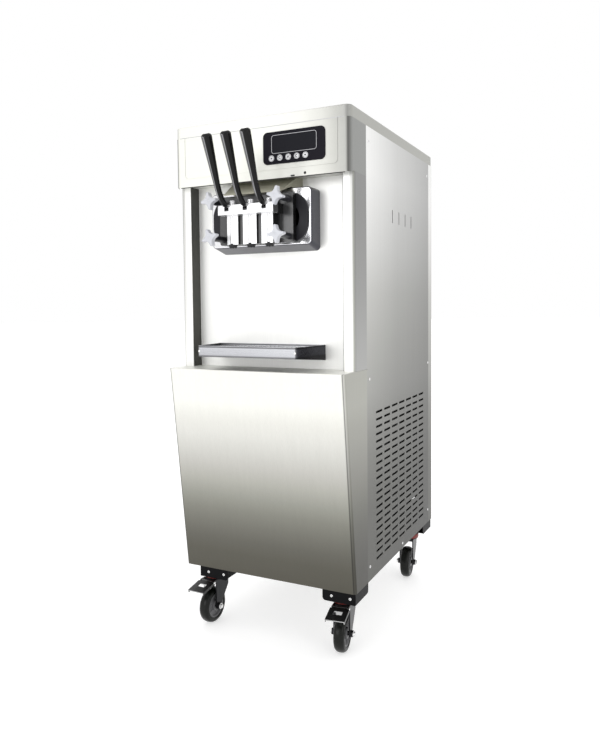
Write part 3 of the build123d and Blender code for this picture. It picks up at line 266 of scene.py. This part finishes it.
# Painted shade on the head's faces that turn sideways.
HEAD_PAINTED_SIDE_SHADE = by_turn("X", [
    (0.25, 1.0), (0.50, 0.25), (0.75, 0.35), (0.95, (0.68, 0.69, 0.70)),
])
# Painted shade on the rim's faces as they turn sideways, darkest at the rounded corners.
RIM_PAINTED_TURN_SHADE = by_turn("X", [(0.2, 1.0), (0.5, 0.75), (0.7, 0.75), (0.95, (1.0, 1.0, 0.97))])
# Painted shade on the lower panel's faces that turn sideways.
PANEL_PAINTED_TURN_SHADE = by_turn("X", [(0.12, 1.0), (0.4, 0.22), (0.62, 0.7), (0.95, (0.43, 0.43, 0.41))])
# Painted shade on the dispensing head's parts set more than about 28 mm behind its front.
HEAD_PAINTED_DEPTH_SHADE = by_position("Y", HEAD_FRONT + 0.0255, HEAD_FRONT + 0.0285, [(0.0, 1.0), (1.0, 0.10)])
# A light streak painted where the handles' surface points this way, fixed to the handles.
HANDLE_SHEEN = by_facing((-0.33, -0.87, -0.34), [
    (0.0, 0.010), (0.90, 0.012), (0.94, 0.20), (0.965, 0.50), (0.985, 0.40), (1.0, 0.05),
])
# Painted reflection and shade on the face plate: faces that do not face forward or back are dark.
PLATE_PAINTED_TURN_SHADE = by_turn("Y", [(0.2, (0.085, 0.085, 0.10)), (0.85, (0.16, 0.16, 0.18)), (0.98, 1.0)])
# Painted shade along the tray front's top and bottom bends, and a painted highlight along its top
# edge.
TRAY_PAINTED_EDGE_SHADE_AND_HIGHLIGHT = by_position("Z", TRAY_UNDER, TRAY_RIM, [
    (0.0, 0.3), (0.08, 0.35), (0.2, 1.0), (0.8, 1.1), (0.88, 0.3), (0.95, 0.3), (1.0, 1.6),
])
# Painted reflection on the tray's end faces, dark as they turn sideways.
TRAY_PAINTED_SIDE_REFLECTION = by_turn("X", [(0.3, 1.0), (0.6, 0.30), (0.95, (0.07, 0.07, 0.085))])

side_steel = finish(
    "side_steel", (0.98, 0.98, 0.97), 0.40, metallic=0.5, scale=VERTICAL,
    tints=[SIDE_PAINTED_REFLECTION, SIDE_PAINTED_DEPTH_SHADE]
)
panel_steel = finish(
    "panel_steel", (0.87, 0.865, 0.84), 0.38, metallic=0.4, scale=VERTICAL,
    tints=[PANEL_PAINTED_REFLECTION, PANEL_PAINTED_TURN_SHADE]
)
head_sheet = finish(
    "head_sheet", (0.92, 0.92, 0.895), 0.38, metallic=0.4, scale=ACROSS, spread=0.03,
    tints=[HEAD_PAINTED_SIDE_SHADE, HEAD_PAINTED_SHADE_ACROSS]
)
rim_sheet = finish(
    "rim_sheet", (0.92, 0.92, 0.90), 0.38, metallic=0.4, scale=ACROSS, spread=0.03,
    tints=[RIM_PAINTED_TURN_SHADE, HEAD_PAINTED_SHADE_ACROSS]
)
pillar_sheet = finish(
    "pillar_sheet", (0.95, 0.95, 0.93), 0.38, metallic=0.4, scale=VERTICAL, spread=0.03,
    tints=[pillar_painted_shade, PILLAR_RECESS_PAINTED_LIGHT]
)
rear_steel = finish(
    "rear_steel", (0.95, 0.95, 0.935), 0.40, metallic=0.5, scale=VERTICAL, tints=[SIDE_PAINTED_REFLECTION]
)
frame_steel = finish("frame_steel", (0.42, 0.42, 0.41), 0.5, metallic=0.8, scale=FINE)
hood_steel = finish("hood_steel", (0.40, 0.39, 0.31), 0.34, metallic=0.7, scale=DEPTHWISE)
chrome = finish(
    "chrome", (0.88, 0.88, 0.90), 0.16, metallic=1.0, scale=ACROSS, rough_spread=0.03,
    bump=0.00005, tints=[PLATE_PAINTED_TURN_SHADE]
)
bright_steel = finish(
    "bright_steel", (0.80, 0.80, 0.80), 0.18, metallic=1.0, scale=FINE, rough_spread=0.04,
    bump=0.00005
)
# The dispensing head: painted shade behind its valve block and on its faces that turn sideways.
head_steel = finish(
    "head_steel", (0.90, 0.90, 0.91), 0.24, metallic=0.6, scale=VERTICAL, rough_spread=0.04,
    tints=[HEAD_PAINTED_DEPTH_SHADE, by_turn("X", [(0.4, 1.0), (0.9, 0.16)])]
)
plunger_steel = finish(
    "plunger_steel", (0.84, 0.84, 0.855), 0.22, metallic=0.75, scale=VERTICAL,
    rough_spread=0.04
)
tray_steel = finish(
    "tray_steel", (0.48, 0.485, 0.51), 0.28, metallic=0.8, scale=ACROSS, rough_spread=0.05,
    tints=[TRAY_PAINTED_SIDE_REFLECTION, TRAY_PAINTED_EDGE_SHADE_AND_HIGHLIGHT]
)
tub_steel = finish("tub_steel", (0.70, 0.70, 0.69), 0.30, metallic=0.9, scale=FINE)
black_rubber = finish(
    "black_rubber", (0.014, 0.014, 0.018), 0.45, scale=FINE, spread=0.3, specular=0.25
)
bezel_plastic = finish(
    "bezel_plastic", (0.012, 0.011, 0.016), 0.32, scale=FINE, spread=0.2, bump=0.00003,
    specular=0.05
)
handle_plastic = finish(
    "handle_plastic", (0.62, 0.62, 0.64), 0.10, scale=FINE, spread=0.02, bump=0.000002,
    rough_spread=0.01, specular=0.18, tints=[HANDLE_SHEEN]
)
knob_plastic = finish(
    "knob_plastic", (0.56, 0.57, 0.61), 0.35, scale=FINE, spread=0.05, bump=0.0001,
    coat=0.2
)
stud_steel = finish("stud_steel", (0.016, 0.016, 0.02), 0.30, scale=FINE, specular=0.3)
button_plastic = finish(
    "button_plastic", (0.74, 0.74, 0.76), 0.35, scale=FINE, spread=0.04, bump=0.00005
)
icon_ink = finish("icon_ink", (0.03, 0.03, 0.035), 0.5, scale=FINE, spread=0.1, specular=0.2)
outline_ink = finish("outline_ink", (0.46, 0.46, 0.48), 0.4, scale=FINE, spread=0.05)
glass = finish(
    "display_glass", (0.008, 0.008, 0.012), 0.12, scale=FINE, spread=0.1, bump=0.00001,
    rough_spread=0.02, specular=0.05
)
motor_paint = finish("motor_paint", (0.05, 0.08, 0.14), 0.45, scale=FINE, spread=0.15)
cast_iron = finish("cast_iron", (0.14, 0.14, 0.15), 0.6, metallic=0.5, scale=FINE, bump=0.0006)
fin_aluminium = finish("fin_aluminium", (0.62, 0.64, 0.66), 0.35, metallic=0.9, scale=VERTICAL)
fan_plastic = finish(
    "fan_plastic", (0.02, 0.02, 0.022), 0.4, scale=FINE, spread=0.15, specular=0.3
)
box_metal = finish("box_metal", (0.40, 0.41, 0.42), 0.5, metallic=0.6, scale=FINE)
shoe_paint = finish(
    "shoe_paint", (0.004, 0.004, 0.005), 0.40, scale=FINE, spread=0.3, bump=0.0003,
    specular=0.08
)
fork_steel = finish(
    "fork_steel", (0.035, 0.035, 0.038), 0.32, metallic=0.85, scale=FINE, spread=0.25
)
# The pedals' faces that do not face forward or back are painted in shade.
pedal_steel = finish(
    "pedal_steel", (0.55, 0.55, 0.55), 0.30, metallic=0.85, scale=FINE, spread=0.25,
    tints=[by_turn("Y", [(0.3, 0.12), (0.9, 1.0)])]
)
tyre_rubber = finish(
    "tyre_rubber", (0.005, 0.006, 0.0045), 0.30, scale=(250.0, 250.0, 250.0), spread=0.25,
    bump=0.0003, specular=0.22
)
rim_plastic = finish(
    "rim_plastic", (0.13, 0.13, 0.135), 0.40, scale=FINE, spread=0.15, specular=0.4
)
red_seal = finish("red_seal", (0.20, 0.016, 0.012), 0.42, scale=FINE, spread=0.2)
# The louvre lips are painted near black, as painted shade inside the slots.
louvre_painted_shade = finish("louvre_painted_shade", (0.045, 0.045, 0.042), 0.45, metallic=0.6, scale=FINE)
dark_hole = finish("dark_hole", (0.01, 0.01, 0.01), 0.7, scale=FINE, spread=0.2)

CARRIED = {
    "base_frame": frame_steel, "base_pan": frame_steel,
    "left_side_panel": side_steel, "right_side_panel": side_steel, "rear_panel": rear_steel,
    "front_surround": pillar_sheet, "lower_front_panel": panel_steel,
    "head_cover": head_sheet, "top_rim": rim_sheet, "control_bezel": bezel_plastic,
    "spout_hood": hood_steel, "face_plate": chrome, "door_gasket": black_rubber,
    "dispensing_head": head_steel, "pivot_pin": bright_steel, "knob_studs": stud_steel,
    "mix_hoppers": tub_steel, "freezing_cylinders": tub_steel, "drive_motor": motor_paint,
    "gearbox": cast_iron, "drive_belt": black_rubber, "compressor": motor_paint,
    "condenser": fin_aluminium, "fan_motor": cast_iron, "control_box": box_metal,
    "caster_brackets": shoe_paint, "panel_screws": bright_steel,
    "gearbox_pulley": cast_iron, "motor_pulley": cast_iron, "fan_blade": fan_plastic,
    "hopper_lid": side_steel, "drip_tray": tray_steel, "drip_grate": bright_steel,
}
for tap in ("left", "middle", "right"):
    CARRIED[f"{tap}_handle"] = handle_plastic
    CARRIED[f"{tap}_plunger"] = plunger_steel
for side in ("left", "right"):
    CARRIED[f"{side}_beater"] = bright_steel
    CARRIED[f"front_{side}_pedal"] = pedal_steel
    for level in ("upper", "lower"):
        CARRIED[f"{level}_{side}_knob"] = knob_plastic
BUTTONS = ("mix", "wash", "chill", "auto", "stop")
for use in BUTTONS:
    CARRIED[f"{use}_button"] = button_plastic
for corner in CORNERS:
    CARRIED[f"{corner}_fork"] = fork_steel
    CARRIED[f"{corner}_wheel"] = tyre_rubber

for node, surface in CARRIED.items():
    slots = NODES[node].material_slots
    if not slots:
        NODES[node].data.materials.append(surface)
    for held in slots:
        held.link = "OBJECT"
        held.material = surface


# ---------------------------------------------------------------- pieces
def piece(name, shape, surface, body):
    """A finished bmesh becomes an object that rides on a body."""
    data = bpy.data.meshes.new(name)
    bmesh.ops.recalc_face_normals(shape, faces=shape.faces)
    shape.to_mesh(data)
    shape.free()
    data.materials.append(surface)
    made = bpy.data.objects.new(name, data)
    bpy.context.scene.collection.objects.link(made)
    data.polygons.foreach_set("use_smooth", [True] * len(data.polygons))
    data.set_sharp_from_angle(angle=SHARP_EDGE)
    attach(made, body)
    return made


def aim(origin, axis):
    """The matrix that stands a shape built along +Z on origin, along axis."""
    turn = Vector(axis).normalized().to_track_quat("Z", "Y").to_matrix().to_4x4()
    return Matrix.Translation(origin) @ turn


def in_mm(pairs):
    """A profile given in millimetres, in metres."""
    return [(first * MM, second * MM) for first, second in pairs]


def lathe(shape, profile, place, steps=48, closed=False):
    """Turns a (radius, height) profile round +Z and puts it in place."""
    rings = []
    for radius, rise in profile:
        if radius < 1e-7:
            rings.append([shape.verts.new(place @ Vector((0, 0, rise)))])
            continue
        turns = (2 * pi * i / steps for i in range(steps))
        rings.append(
            [shape.verts.new(place @ Vector((radius * cos(a), radius * sin(a), rise)))
             for a in turns]
        )
    pairs = list(zip(rings, rings[1:]))
    if closed:
        pairs.append((rings[-1], rings[0]))
    for low, high in pairs:
        for i in range(steps):
            j = (i + 1) % steps
            if len(low) == 1:
                shape.faces.new((low[0], high[i], high[j]))
            elif len(high) == 1:
                shape.faces.new((low[i], low[j], high[0]))
            else:
                shape.faces.new((low[i], low[j], high[j], high[i]))


def prism(shape, outline, place, depth, bevel=0.0):
    """A closed outline in XY raised along +Z by depth, with its top edge bevelled."""
    middle = sum((Vector((x, y, 0)) for x, y in outline), Vector()) / len(outline)
    layers = [(0.0, 0.0), (depth - bevel, 0.0)]
    if bevel:
        layers.append((depth, bevel))
    rows = []
    for rise, inset in layers:
        row = []
        for x, y in outline:
            point = Vector((x, y, 0))
            inward = (middle - point).normalized() * inset
            row.append(shape.verts.new(place @ (point + inward + Z * rise)))
        rows.append(row)
    count = len(outline)
    for low, high in zip(rows, rows[1:]):
        for i in range(count):
            j = (i + 1) % count
            shape.faces.new((low[i], low[j], high[j], high[i]))
    shape.faces.new(rows[0][::-1])
    shape.faces.new(rows[-1])


def rounded(width, depth, radius, steps=6):
    """The outline of a rounded rectangle about the origin."""
    points = []
    for index, (sx, sy) in enumerate(((1, 1), (-1, 1), (-1, -1), (1, -1))):
        for i in range(steps + 1):
            turn = (index + i / steps) * pi / 2
            points.append((
                sx * (width / 2 - radius) + radius * cos(turn),
                sy * (depth / 2 - radius) + radius * sin(turn),
            ))
    return points


def ribbon(shape, outer, inner, place, depth):
    """A flat band between two outlines with the same number of points, raised by depth."""
    loops = []
    for outline, rise in ((outer, 0.0), (outer, depth), (inner, depth), (inner, 0.0)):
        loops.append([shape.verts.new(place @ Vector((x, y, rise))) for x, y in outline])
    count = len(outer)
    for first, second in zip(loops, loops[1:] + loops[:1]):
        for i in range(count):
            j = (i + 1) % count
            shape.faces.new((first[i], first[j], second[j], second[i]))


def circle(radius, sides=32, turn=0.0):
    """The outline of a circle or a regular polygon."""
    steps = (turn + 2 * pi * i / sides for i in range(sides))
    return [(radius * cos(a), radius * sin(a)) for a in steps]


# ---------------------------------------------------------------- places from the frame
JOINTS = {joint["name"]: joint for joint in frame["joints"]}
TRAY_LOW, TRAY_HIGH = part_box("drip_tray")
BEZEL_LOW, BEZEL_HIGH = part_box("control_bezel")
FORWARD = -Y


# ---------------------------------------------------------------- casters
def tyre_profile():
    """The tread, its rounded shoulders and a rib on each side wall."""
    points = []
    for side in SIDES:
        wall = [(36.5, 14.6), (37.6, 15.6), (40.6, 15.6), (41.6, 14.9), (44.0, 14.9),
                (46.0, 14.0), (48.0, 12.0), (49.6, 9.4), (50.6, 6.0), (50.98, 2.5)]
        wall = in_mm((r, side * w) for r, w in wall)
        points += wall if side < 0 else wall[::-1]
    return points + in_mm([(36.5, 12.0), (36.5, -12.0)])


def rim_profile():
    """The wheel's dished web, its raised rim and the hub."""
    side = [(6.1, 15.0), (14.0, 15.0), (15.4, 13.8), (15.8, 9.0), (18.0, 7.4), (27.0, 7.4),
            (29.5, 8.4), (31.0, 12.4), (32.4, 13.8), (35.4, 13.8), (37.0, 12.6)]
    return in_mm(side) + in_mm((r, -w) for r, w in reversed(side))


# Outlines of small turned parts, as (radius, height) in millimetres.
WASHER = [(0.0, -0.4), (8.6, -0.4), (8.6, 0.9), (8.0, 1.3), (0.0, 1.3)]
HINGE_HEAD = [(0.0, -0.4), (4.2, -0.4), (4.2, 0.8), (3.2, 2.0), (0.0, 2.4)]
DUST_SEAL = [(32.5, 133.5), (34.6, 133.5), (35.2, 135.0), (35.2, 145.0), (34.6, 146.5),
             (32.5, 146.5)]
SPOKES = 5
# How far the bolt's and the hinge's heads stand from the middle, along their axes.
FORK_SIDE, HINGE_SIDE = 30.0 * MM, 24.0 * MM

for corner in CORNERS:
    roll = JOINTS[f"{corner}_roll"]
    swivel = JOINTS[f"{corner}_swivel"]
    axle, across = Vector(roll["pos_m"]), Vector(roll["axis"])
    wheel_place = aim(axle, across)

    shape = bmesh.new()
    lathe(shape, tyre_profile(), wheel_place, steps=96, closed=True)
    tyre = piece(f"{corner}_tyre", shape, tyre_rubber, f"{corner}_wheel")
    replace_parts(tyre, f"{corner}_wheel")

    shape = bmesh.new()
    lathe(shape, rim_profile(), wheel_place, steps=96, closed=True)
    for side in SIDES:
        for index in range(SPOKES):
            turn = index * 2 * pi / SPOKES
            spoke = wheel_place @ Matrix.Rotation(turn, 4, "Z")
            if side < 0:
                spoke = spoke @ Matrix.Rotation(pi, 4, "X")
            spoke = spoke @ Matrix.Translation((22.5 * MM, 0, 6.8 * MM))
            prism(shape, rounded(14.0 * MM, 4.0 * MM, 1.8 * MM, 3), spoke, 3.0 * MM, 0.6 * MM)
    piece(f"{corner}_rim", shape, rim_plastic, f"{corner}_wheel")

    # A domed hexagonal axle bolt and its washer on each side of the fork.
    shape = bmesh.new()
    for side in SIDES:
        out = aim(axle + across * side * FORK_SIDE, across * side)
        lathe(shape, in_mm(WASHER), out, steps=40)
        head = out @ Matrix.Translation((0, 0, WASHER[-1][1] * MM))
        prism(shape, circle(6.6 * MM, 6, 0.3), head, 4.2 * MM, 0.8 * MM)
    piece(f"{corner}_axle_bolt", shape, bright_steel, f"{corner}_fork")

    # The dust seal between the shoe and the swivel plate.
    shape = bmesh.new()
    pin = Vector(swivel["pos_m"])
    pin.z = 0.0
    lathe(shape, in_mm(DUST_SEAL), Matrix.Translation(pin), 64, True)
    piece(f"{corner}_seal", shape, red_seal, f"{corner}_fork")


# Turned heads on the ends of the pedal hinges.
for corner in ("front_left", "front_right"):
    hinge = JOINTS[f"{corner}_brake"]
    middle, across = Vector(hinge["pos_m"]), Vector(hinge["axis"])
    shape = bmesh.new()
    for side in SIDES:
        out = aim(middle + across * side * HINGE_SIDE, across * side)
        lathe(shape, in_mm(HINGE_HEAD), out, steps=28)
    piece(f"{corner}_hinge_heads", shape, bright_steel, f"{corner}_fork")


# ---------------------------------------------------------------- screws
def cross_recess(shape, place, reach, width, lift):
    """A dark cross that fills the recess of a screw head, as painted shade in the recess."""
    for turn in (0.0, pi / 2):
        bar = place @ Matrix.Rotation(turn, 4, "Z") @ Matrix.Translation((0, 0, lift))
        prism(shape, rounded(2 * reach, width, width * 0.3, 2), bar, 0.12 * MM)


def pan_head(shape, recess, place):
    """A domed screw head with a dished top, and the dark cross in its recess."""
    dome = [(0.0, 1.25), (2.1, 1.25), (2.5, 1.68), (3.1, 1.62), (3.7, 1.3), (4.1, 0.7), (4.2, 0.0)]
    lathe(shape, in_mm(dome), place, steps=28)
    cross_recess(recess, place, 1.9 * MM, 0.8 * MM, 1.2 * MM)


# Two in each shoe's outer flange, and a row round each side panel.
SIDE_SCREWS = ((0.128, 1.383), (0.685, 1.380), (0.128, 0.743), (0.697, 0.743), (0.126, 0.221),
               (0.413, 0.196), (0.697, 0.226))
SHOE_LOW, SHOE_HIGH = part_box("caster_brackets")
SHOE_SCREWS = (
    (SHOE_LOW[1], FORWARD, (-0.196, -0.144, 0.198, 0.252)),
    (SHOE_HIGH[1], Y, (-0.252, -0.198, 0.198, 0.252)),
)
SHOE_SCREW_Z = 0.166
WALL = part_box("right_side_panel")[1][0]
heads, crosses = bmesh.new(), bmesh.new()
for side in SIDES:
    for y, z in SIDE_SCREWS:
        pan_head(heads, crosses, aim((side * WALL, FRONT_FACE + y, z), X * side))
for y, out, places in SHOE_SCREWS:
    for x in places:
        pan_head(heads, crosses, aim((x, y, SHOE_SCREW_Z), out))
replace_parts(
    piece("screw_heads", heads, bright_steel, "cabinet"), "panel_screws"
)
piece("screw_crosses", crosses, dark_hole, "cabinet")


# ---------------------------------------------------------------- louvres
def louvre(shape, at, along, out, length, drop):
    """A pressed lip behind a slot, curving from the slot's top edge inwards and down."""
    steps, thick = 7, 1.0 * MM
    rows = []
    for index in range(steps + 1):
        turn = index / steps * pi / 2
        depth, fall = sin(turn) * 7.0 * MM, (1 - cos(turn)) * drop
        for gap in (0.0, thick):
            half = length / 2 - 2.0 * MM * (1 - index / steps)
            middle = at - out * (depth + 0.4 * MM) - Z * (fall + gap)
            rows.append([shape.verts.new(middle + along * half * end) for end in SIDES])
    for index in range(steps):
        top, under = rows[2 * index], rows[2 * index + 1]
        next_top, next_under = rows[2 * index + 2], rows[2 * index + 3]
        shape.faces.new((top[0], top[1], next_top[1], next_top[0]))
        shape.faces.new((under[0], next_under[0], next_under[1], under[1]))
        for end in (0, 1):
            shape.faces.new((top[end], next_top[end], next_under[end], under[end]))
    shape.faces.new((rows[0][0], rows[1][0], rows[1][1], rows[0][1]))
    shape.faces.new((rows[-2][0], rows[-2][1], rows[-1][1], rows[-1][0]))


SLOT_TALL, LIP_DROP = 7.0 * MM, 9.0 * MM
SIDE_LIP, REAR_LIP = 49.0 * MM, 46.0 * MM
# The middle of each field of slots, and its pitch across and up.
SIDE_FIELD, SIDE_PITCH = (FRONT_FACE + 0.410, 0.435), (0.0686, 0.0209)
REAR_FIELD_Z, REAR_PITCH = 0.968, (0.064, 0.021)
for side in SIDES:
    shape = bmesh.new()
    for column in range(-3, 4):
        for row in range(-10, 11):
            y = SIDE_FIELD[0] + column * SIDE_PITCH[0]
            z = SIDE_FIELD[1] + row * SIDE_PITCH[1] + SLOT_TALL / 2
            louvre(shape, Vector((side * WALL, y, z)), Y, X * side, SIDE_LIP, LIP_DROP)
    name = "left" if side < 0 else "right"
    piece(f"{name}_louvres", shape, louvre_painted_shade, "cabinet")

shape = bmesh.new()
for column in range(6):
    for row in range(12):
        x = (column - 2.5) * REAR_PITCH[0]
        z = REAR_FIELD_Z + (row - 5.5) * REAR_PITCH[1] + SLOT_TALL / 2
        louvre(shape, Vector((x, BACK_FACE, z)), X, Y, REAR_LIP, LIP_DROP)
piece("rear_louvres", shape, louvre_painted_shade, "cabinet")


# ---------------------------------------------------------------- control panel
DISPLAY = Vector(((BEZEL_LOW[0] + BEZEL_HIGH[0]) / 2 + 1.0 * MM, BEZEL_LOW[1], 1.3725))
shape = bmesh.new()
prism(
    shape, rounded(0.1290, 0.0450, 5.5 * MM), aim(DISPLAY + Y * 0.7 * MM, FORWARD),
    0.5 * MM, 0.1 * MM
)
piece("display_glass", shape, glass, "cabinet")

shape = bmesh.new()
ribbon(
    shape, rounded(0.1325, 0.0485, 7.2 * MM), rounded(0.1300, 0.0460, 6.0 * MM),
    aim(DISPLAY + Y * 0.05 * MM, FORWARD), 0.2 * MM
)
piece("display_outline", shape, outline_ink, "cabinet")


INK = 0.15 * MM


def bar(shape, place, length, width, turn=0.0, at=(0.0, 0.0)):
    """A short rounded bar of ink."""
    spot = place @ Matrix.Translation((*at, 0)) @ Matrix.Rotation(turn, 4, "Z")
    prism(shape, rounded(length, width, width * 0.45, 3), spot, INK)


def arc(shape, place, radius, width, start, sweep, steps=20):
    """A curved stroke of ink."""
    outer, inner = [], []
    for i in range(steps + 1):
        turn = start + sweep * i / steps
        for edge, line in ((radius + width / 2, outer), (radius - width / 2, inner)):
            line.append((edge * cos(turn), edge * sin(turn)))
    low = [[shape.verts.new(place @ Vector((x, y, 0))) for x, y in line]
           for line in (outer, inner)]
    high = [[shape.verts.new(place @ Vector((x, y, INK))) for x, y in line]
            for line in (outer, inner)]
    for i in range(steps):
        shape.faces.new((high[0][i], high[1][i], high[1][i + 1], high[0][i + 1]))
        shape.faces.new((low[0][i], low[0][i + 1], low[1][i + 1], low[1][i]))
        for edge in (0, 1):
            shape.faces.new((low[edge][i], high[edge][i], high[edge][i + 1], low[edge][i + 1]))
    for i in (0, steps):
        shape.faces.new((low[0][i], low[1][i], high[1][i], high[0][i]))


def icon(shape, use, place):
    """A plain symbol for each button."""
    arc(shape, place, 6.4 * MM, 0.7 * MM, 0.0, 2 * pi, 40)
    if use == "mix":
        prism(shape, circle(3.4 * MM, 3), place, INK)
    elif use == "wash":
        arc(shape, place, 2.9 * MM, 1.3 * MM, 0.8, 4.9)
        bar(shape, place, 3.0 * MM, 1.2 * MM, -0.7, (1.6 * MM, -1.6 * MM))
    elif use == "chill":
        for turn in (pi / 2, pi / 6, -pi / 6):
            bar(shape, place, 8.0 * MM, 1.1 * MM, turn)
    elif use == "auto":
        arc(shape, place, 3.0 * MM, 1.7 * MM, 0.9, 4.2)
    else:
        prism(shape, circle(3.4 * MM, 3, -pi / 2), place, INK)


for use in BUTTONS:
    middle = centre(f"{use}_button")
    middle.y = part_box(f"{use}_button")[0][1] + 0.05 * MM
    shape = bmesh.new()
    icon(shape, use, aim(middle, FORWARD))
    piece(f"{use}_icon", shape, icon_ink, f"{use}_button")


# ---------------------------------------------------------------- head trim
SEAM_Z, LIP_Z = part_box("top_rim")[0][2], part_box("head_cover")[0][2]
TRIM_WIDE = 0.506
shape = bmesh.new()
prism(
    shape, rounded(TRIM_WIDE, 1.6 * MM, 0.6 * MM, 3), aim((0, FRONT_FACE, SEAM_Z), FORWARD),
    0.15 * MM
)
piece("rim_seam", shape, outline_ink, "cabinet")

# A black edging along the underside of the head, which paints the shadow gap under its lip, and
# the screw that holds the head down.
shape = bmesh.new()
prism(
    shape, rounded(TRIM_WIDE, 3.0 * MM, 1.4 * MM, 4),
    aim((0, FRONT_FACE + 2.4 * MM, LIP_Z - 1.6 * MM), Z), 1.7 * MM
)
piece("lip_shadow_edging", shape, black_rubber, "cabinet")
shape = bmesh.new()
prism(
    shape, circle(3.6 * MM, 24), aim((0.142, FRONT_FACE - 0.02 * MM, LIP_Z + 7.0 * MM), FORWARD),
    0.5 * MM, 0.2 * MM
)
prism(
    shape, rounded(12.0 * MM, 4.0 * MM, 1.6 * MM, 4),
    aim((0.106, FRONT_FACE - 0.02 * MM, LIP_Z + 3.0 * MM), FORWARD), 0.3 * MM
)
piece("lip_screw", shape, dark_hole, "cabinet")


# ---------------------------------------------------------------- dispensing head
HEAD_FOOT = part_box("dispensing_head")[0][2]
for tap in ("left", "middle", "right"):
    valve = centre(f"{tap}_plunger")
    mouth = Matrix.Translation((valve.x, valve.y, HEAD_FOOT - 9.5 * MM))
    shape = bmesh.new()
    sleeve = [(8.2, 9.4), (12.4, 9.4), (12.4, 6.4), (11.2, 5.8), (10.6, 2.4), (8.2, 2.4)]
    lathe(shape, in_mm(sleeve), mouth, 40, True)
    for index in range(6):
        tooth = mouth @ Matrix.Rotation(index * pi / 3, 4, "Z")
        tooth = tooth @ Matrix.Translation((8.0 * MM, 0, 0.6 * MM))
        prism(shape, circle(2.4 * MM, 3, pi), tooth, 4.0 * MM)
    piece(f"{tap}_nozzle", shape, fan_plastic, "cabinet")

# Acorn nuts over the ends of the studs, in front of the knobs' bosses.
for level in ("upper", "lower"):
    for side in ("left", "right"):
        knob = f"{level}_{side}_knob"
        face = centre(knob)
        face.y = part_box(knob)[0][1] + 0.1 * MM
        shape = bmesh.new()
        button = [(0.0, 0.9), (2.6, 0.8), (4.4, 0.35), (4.8, 0.0), (0.0, -0.2)]
        lathe(shape, in_mm(button), aim(face, FORWARD), 32)
        piece(f"{knob}_cap", shape, knob_plastic, knob)


# ---------------------------------------------------------------- drip tray
shape = bmesh.new()
for side in SIDES:
    stop = aim((side * (TRAY_HIGH[0] - 22.0 * MM), TRAY_LOW[1] + 0.02 * MM, 0.8240), FORWARD)
    lathe(shape, in_mm([(0.0, 0.5), (2.6, 0.4), (3.2, 0.0), (0.0, -0.2)]), stop, 24)
piece("tray_rivets", shape, bright_steel, "drip_tray")


# ---------------------------------------------------------------- studio
def area_light(name, place, target, size, power):
    """A square soft light aimed at a point."""
    data = bpy.data.lights.new(name, "AREA")
    data.shape, data.size, data.energy = "SQUARE", size, power
    made = bpy.data.objects.new(name, data)
    bpy.context.scene.collection.objects.link(made)
    made.matrix_world = aim(place, Vector(place) - Vector(target))
    return made


area_light("key", (-1.0, -4.0, 1.7), (0.0, 0.0, 0.9), 1.8, 26)
area_light("fill", (3.2, -1.6, 1.8), (0.0, 0.0, 0.7), 1.4, 8)
area_light("overhead", (0.0, -0.6, 3.4), (0.0, 0.0, 0.8), 2.0, 8)
area_light("rear", (-1.5, 3.2, 2.4), (0.0, 0.0, 0.8), 2.0, 20)

world = bpy.data.worlds.new("studio")
bpy.context.scene.world = world
world.use_nodes = True
world.node_tree.nodes["Background"].inputs["Color"].default_value = (1.0, 1.0, 1.0, 1)
world.node_tree.nodes["Background"].inputs["Strength"].default_value = 1.0

FLOOR_RADIUS, FLOOR_GLOW = 40.0, 0.55
floor_data = bpy.data.meshes.new("floor")
shape = bmesh.new()
lathe(shape, [(0.0, 0.0), (FLOOR_RADIUS, 0.0)], Matrix.Identity(4), 64)
shape.to_mesh(floor_data)
shape.free()
floor = bpy.data.objects.new("floor", floor_data)
bpy.context.scene.collection.objects.link(floor)
floor_data.materials.append(
    finish("floor_paint", (0.60, 0.60, 0.60), 0.8, scale=(3.0, 3.0, 3.0), spread=0.01)
)
glow = floor_data.materials[0].node_tree.nodes["Principled BSDF"]
glow.inputs["Emission Color"].default_value = (1.0, 1.0, 1.0, 1)
glow.inputs["Emission Strength"].default_value = FLOOR_GLOW

scene = bpy.context.scene
scene.view_settings.view_transform = "Standard"
scene.view_settings.look = "None"

# ---------------------------------------------------------------- camera
YAW, PITCH, ROLL = 0.461, -0.054, -0.010
LENS, SENSOR_WIDTH, SHIFT_UP = 33.12, 36.0, -0.0445
STAND = (0.9355, -1.9260, 0.9486)
forward = Vector((-sin(YAW) * cos(PITCH), cos(YAW) * cos(PITCH), sin(PITCH)))
level_right = Vector((cos(YAW), sin(YAW), 0.0))
level_up = level_right.cross(forward)
right = cos(ROLL) * level_right + sin(ROLL) * level_up
up = cos(ROLL) * level_up - sin(ROLL) * level_right
camera_data = bpy.data.cameras.new("camera")
camera_data.lens, camera_data.sensor_width = LENS, SENSOR_WIDTH
camera_data.shift_y = SHIFT_UP
camera_data.clip_end = 100.0
camera = bpy.data.objects.new("camera", camera_data)
scene.collection.objects.link(camera)
turned = Matrix((right, up, -forward)).transposed().to_4x4()
camera.matrix_world = Matrix.Translation(STAND) @ turned
scene.camera = camera

bpy.context.view_layer.update()
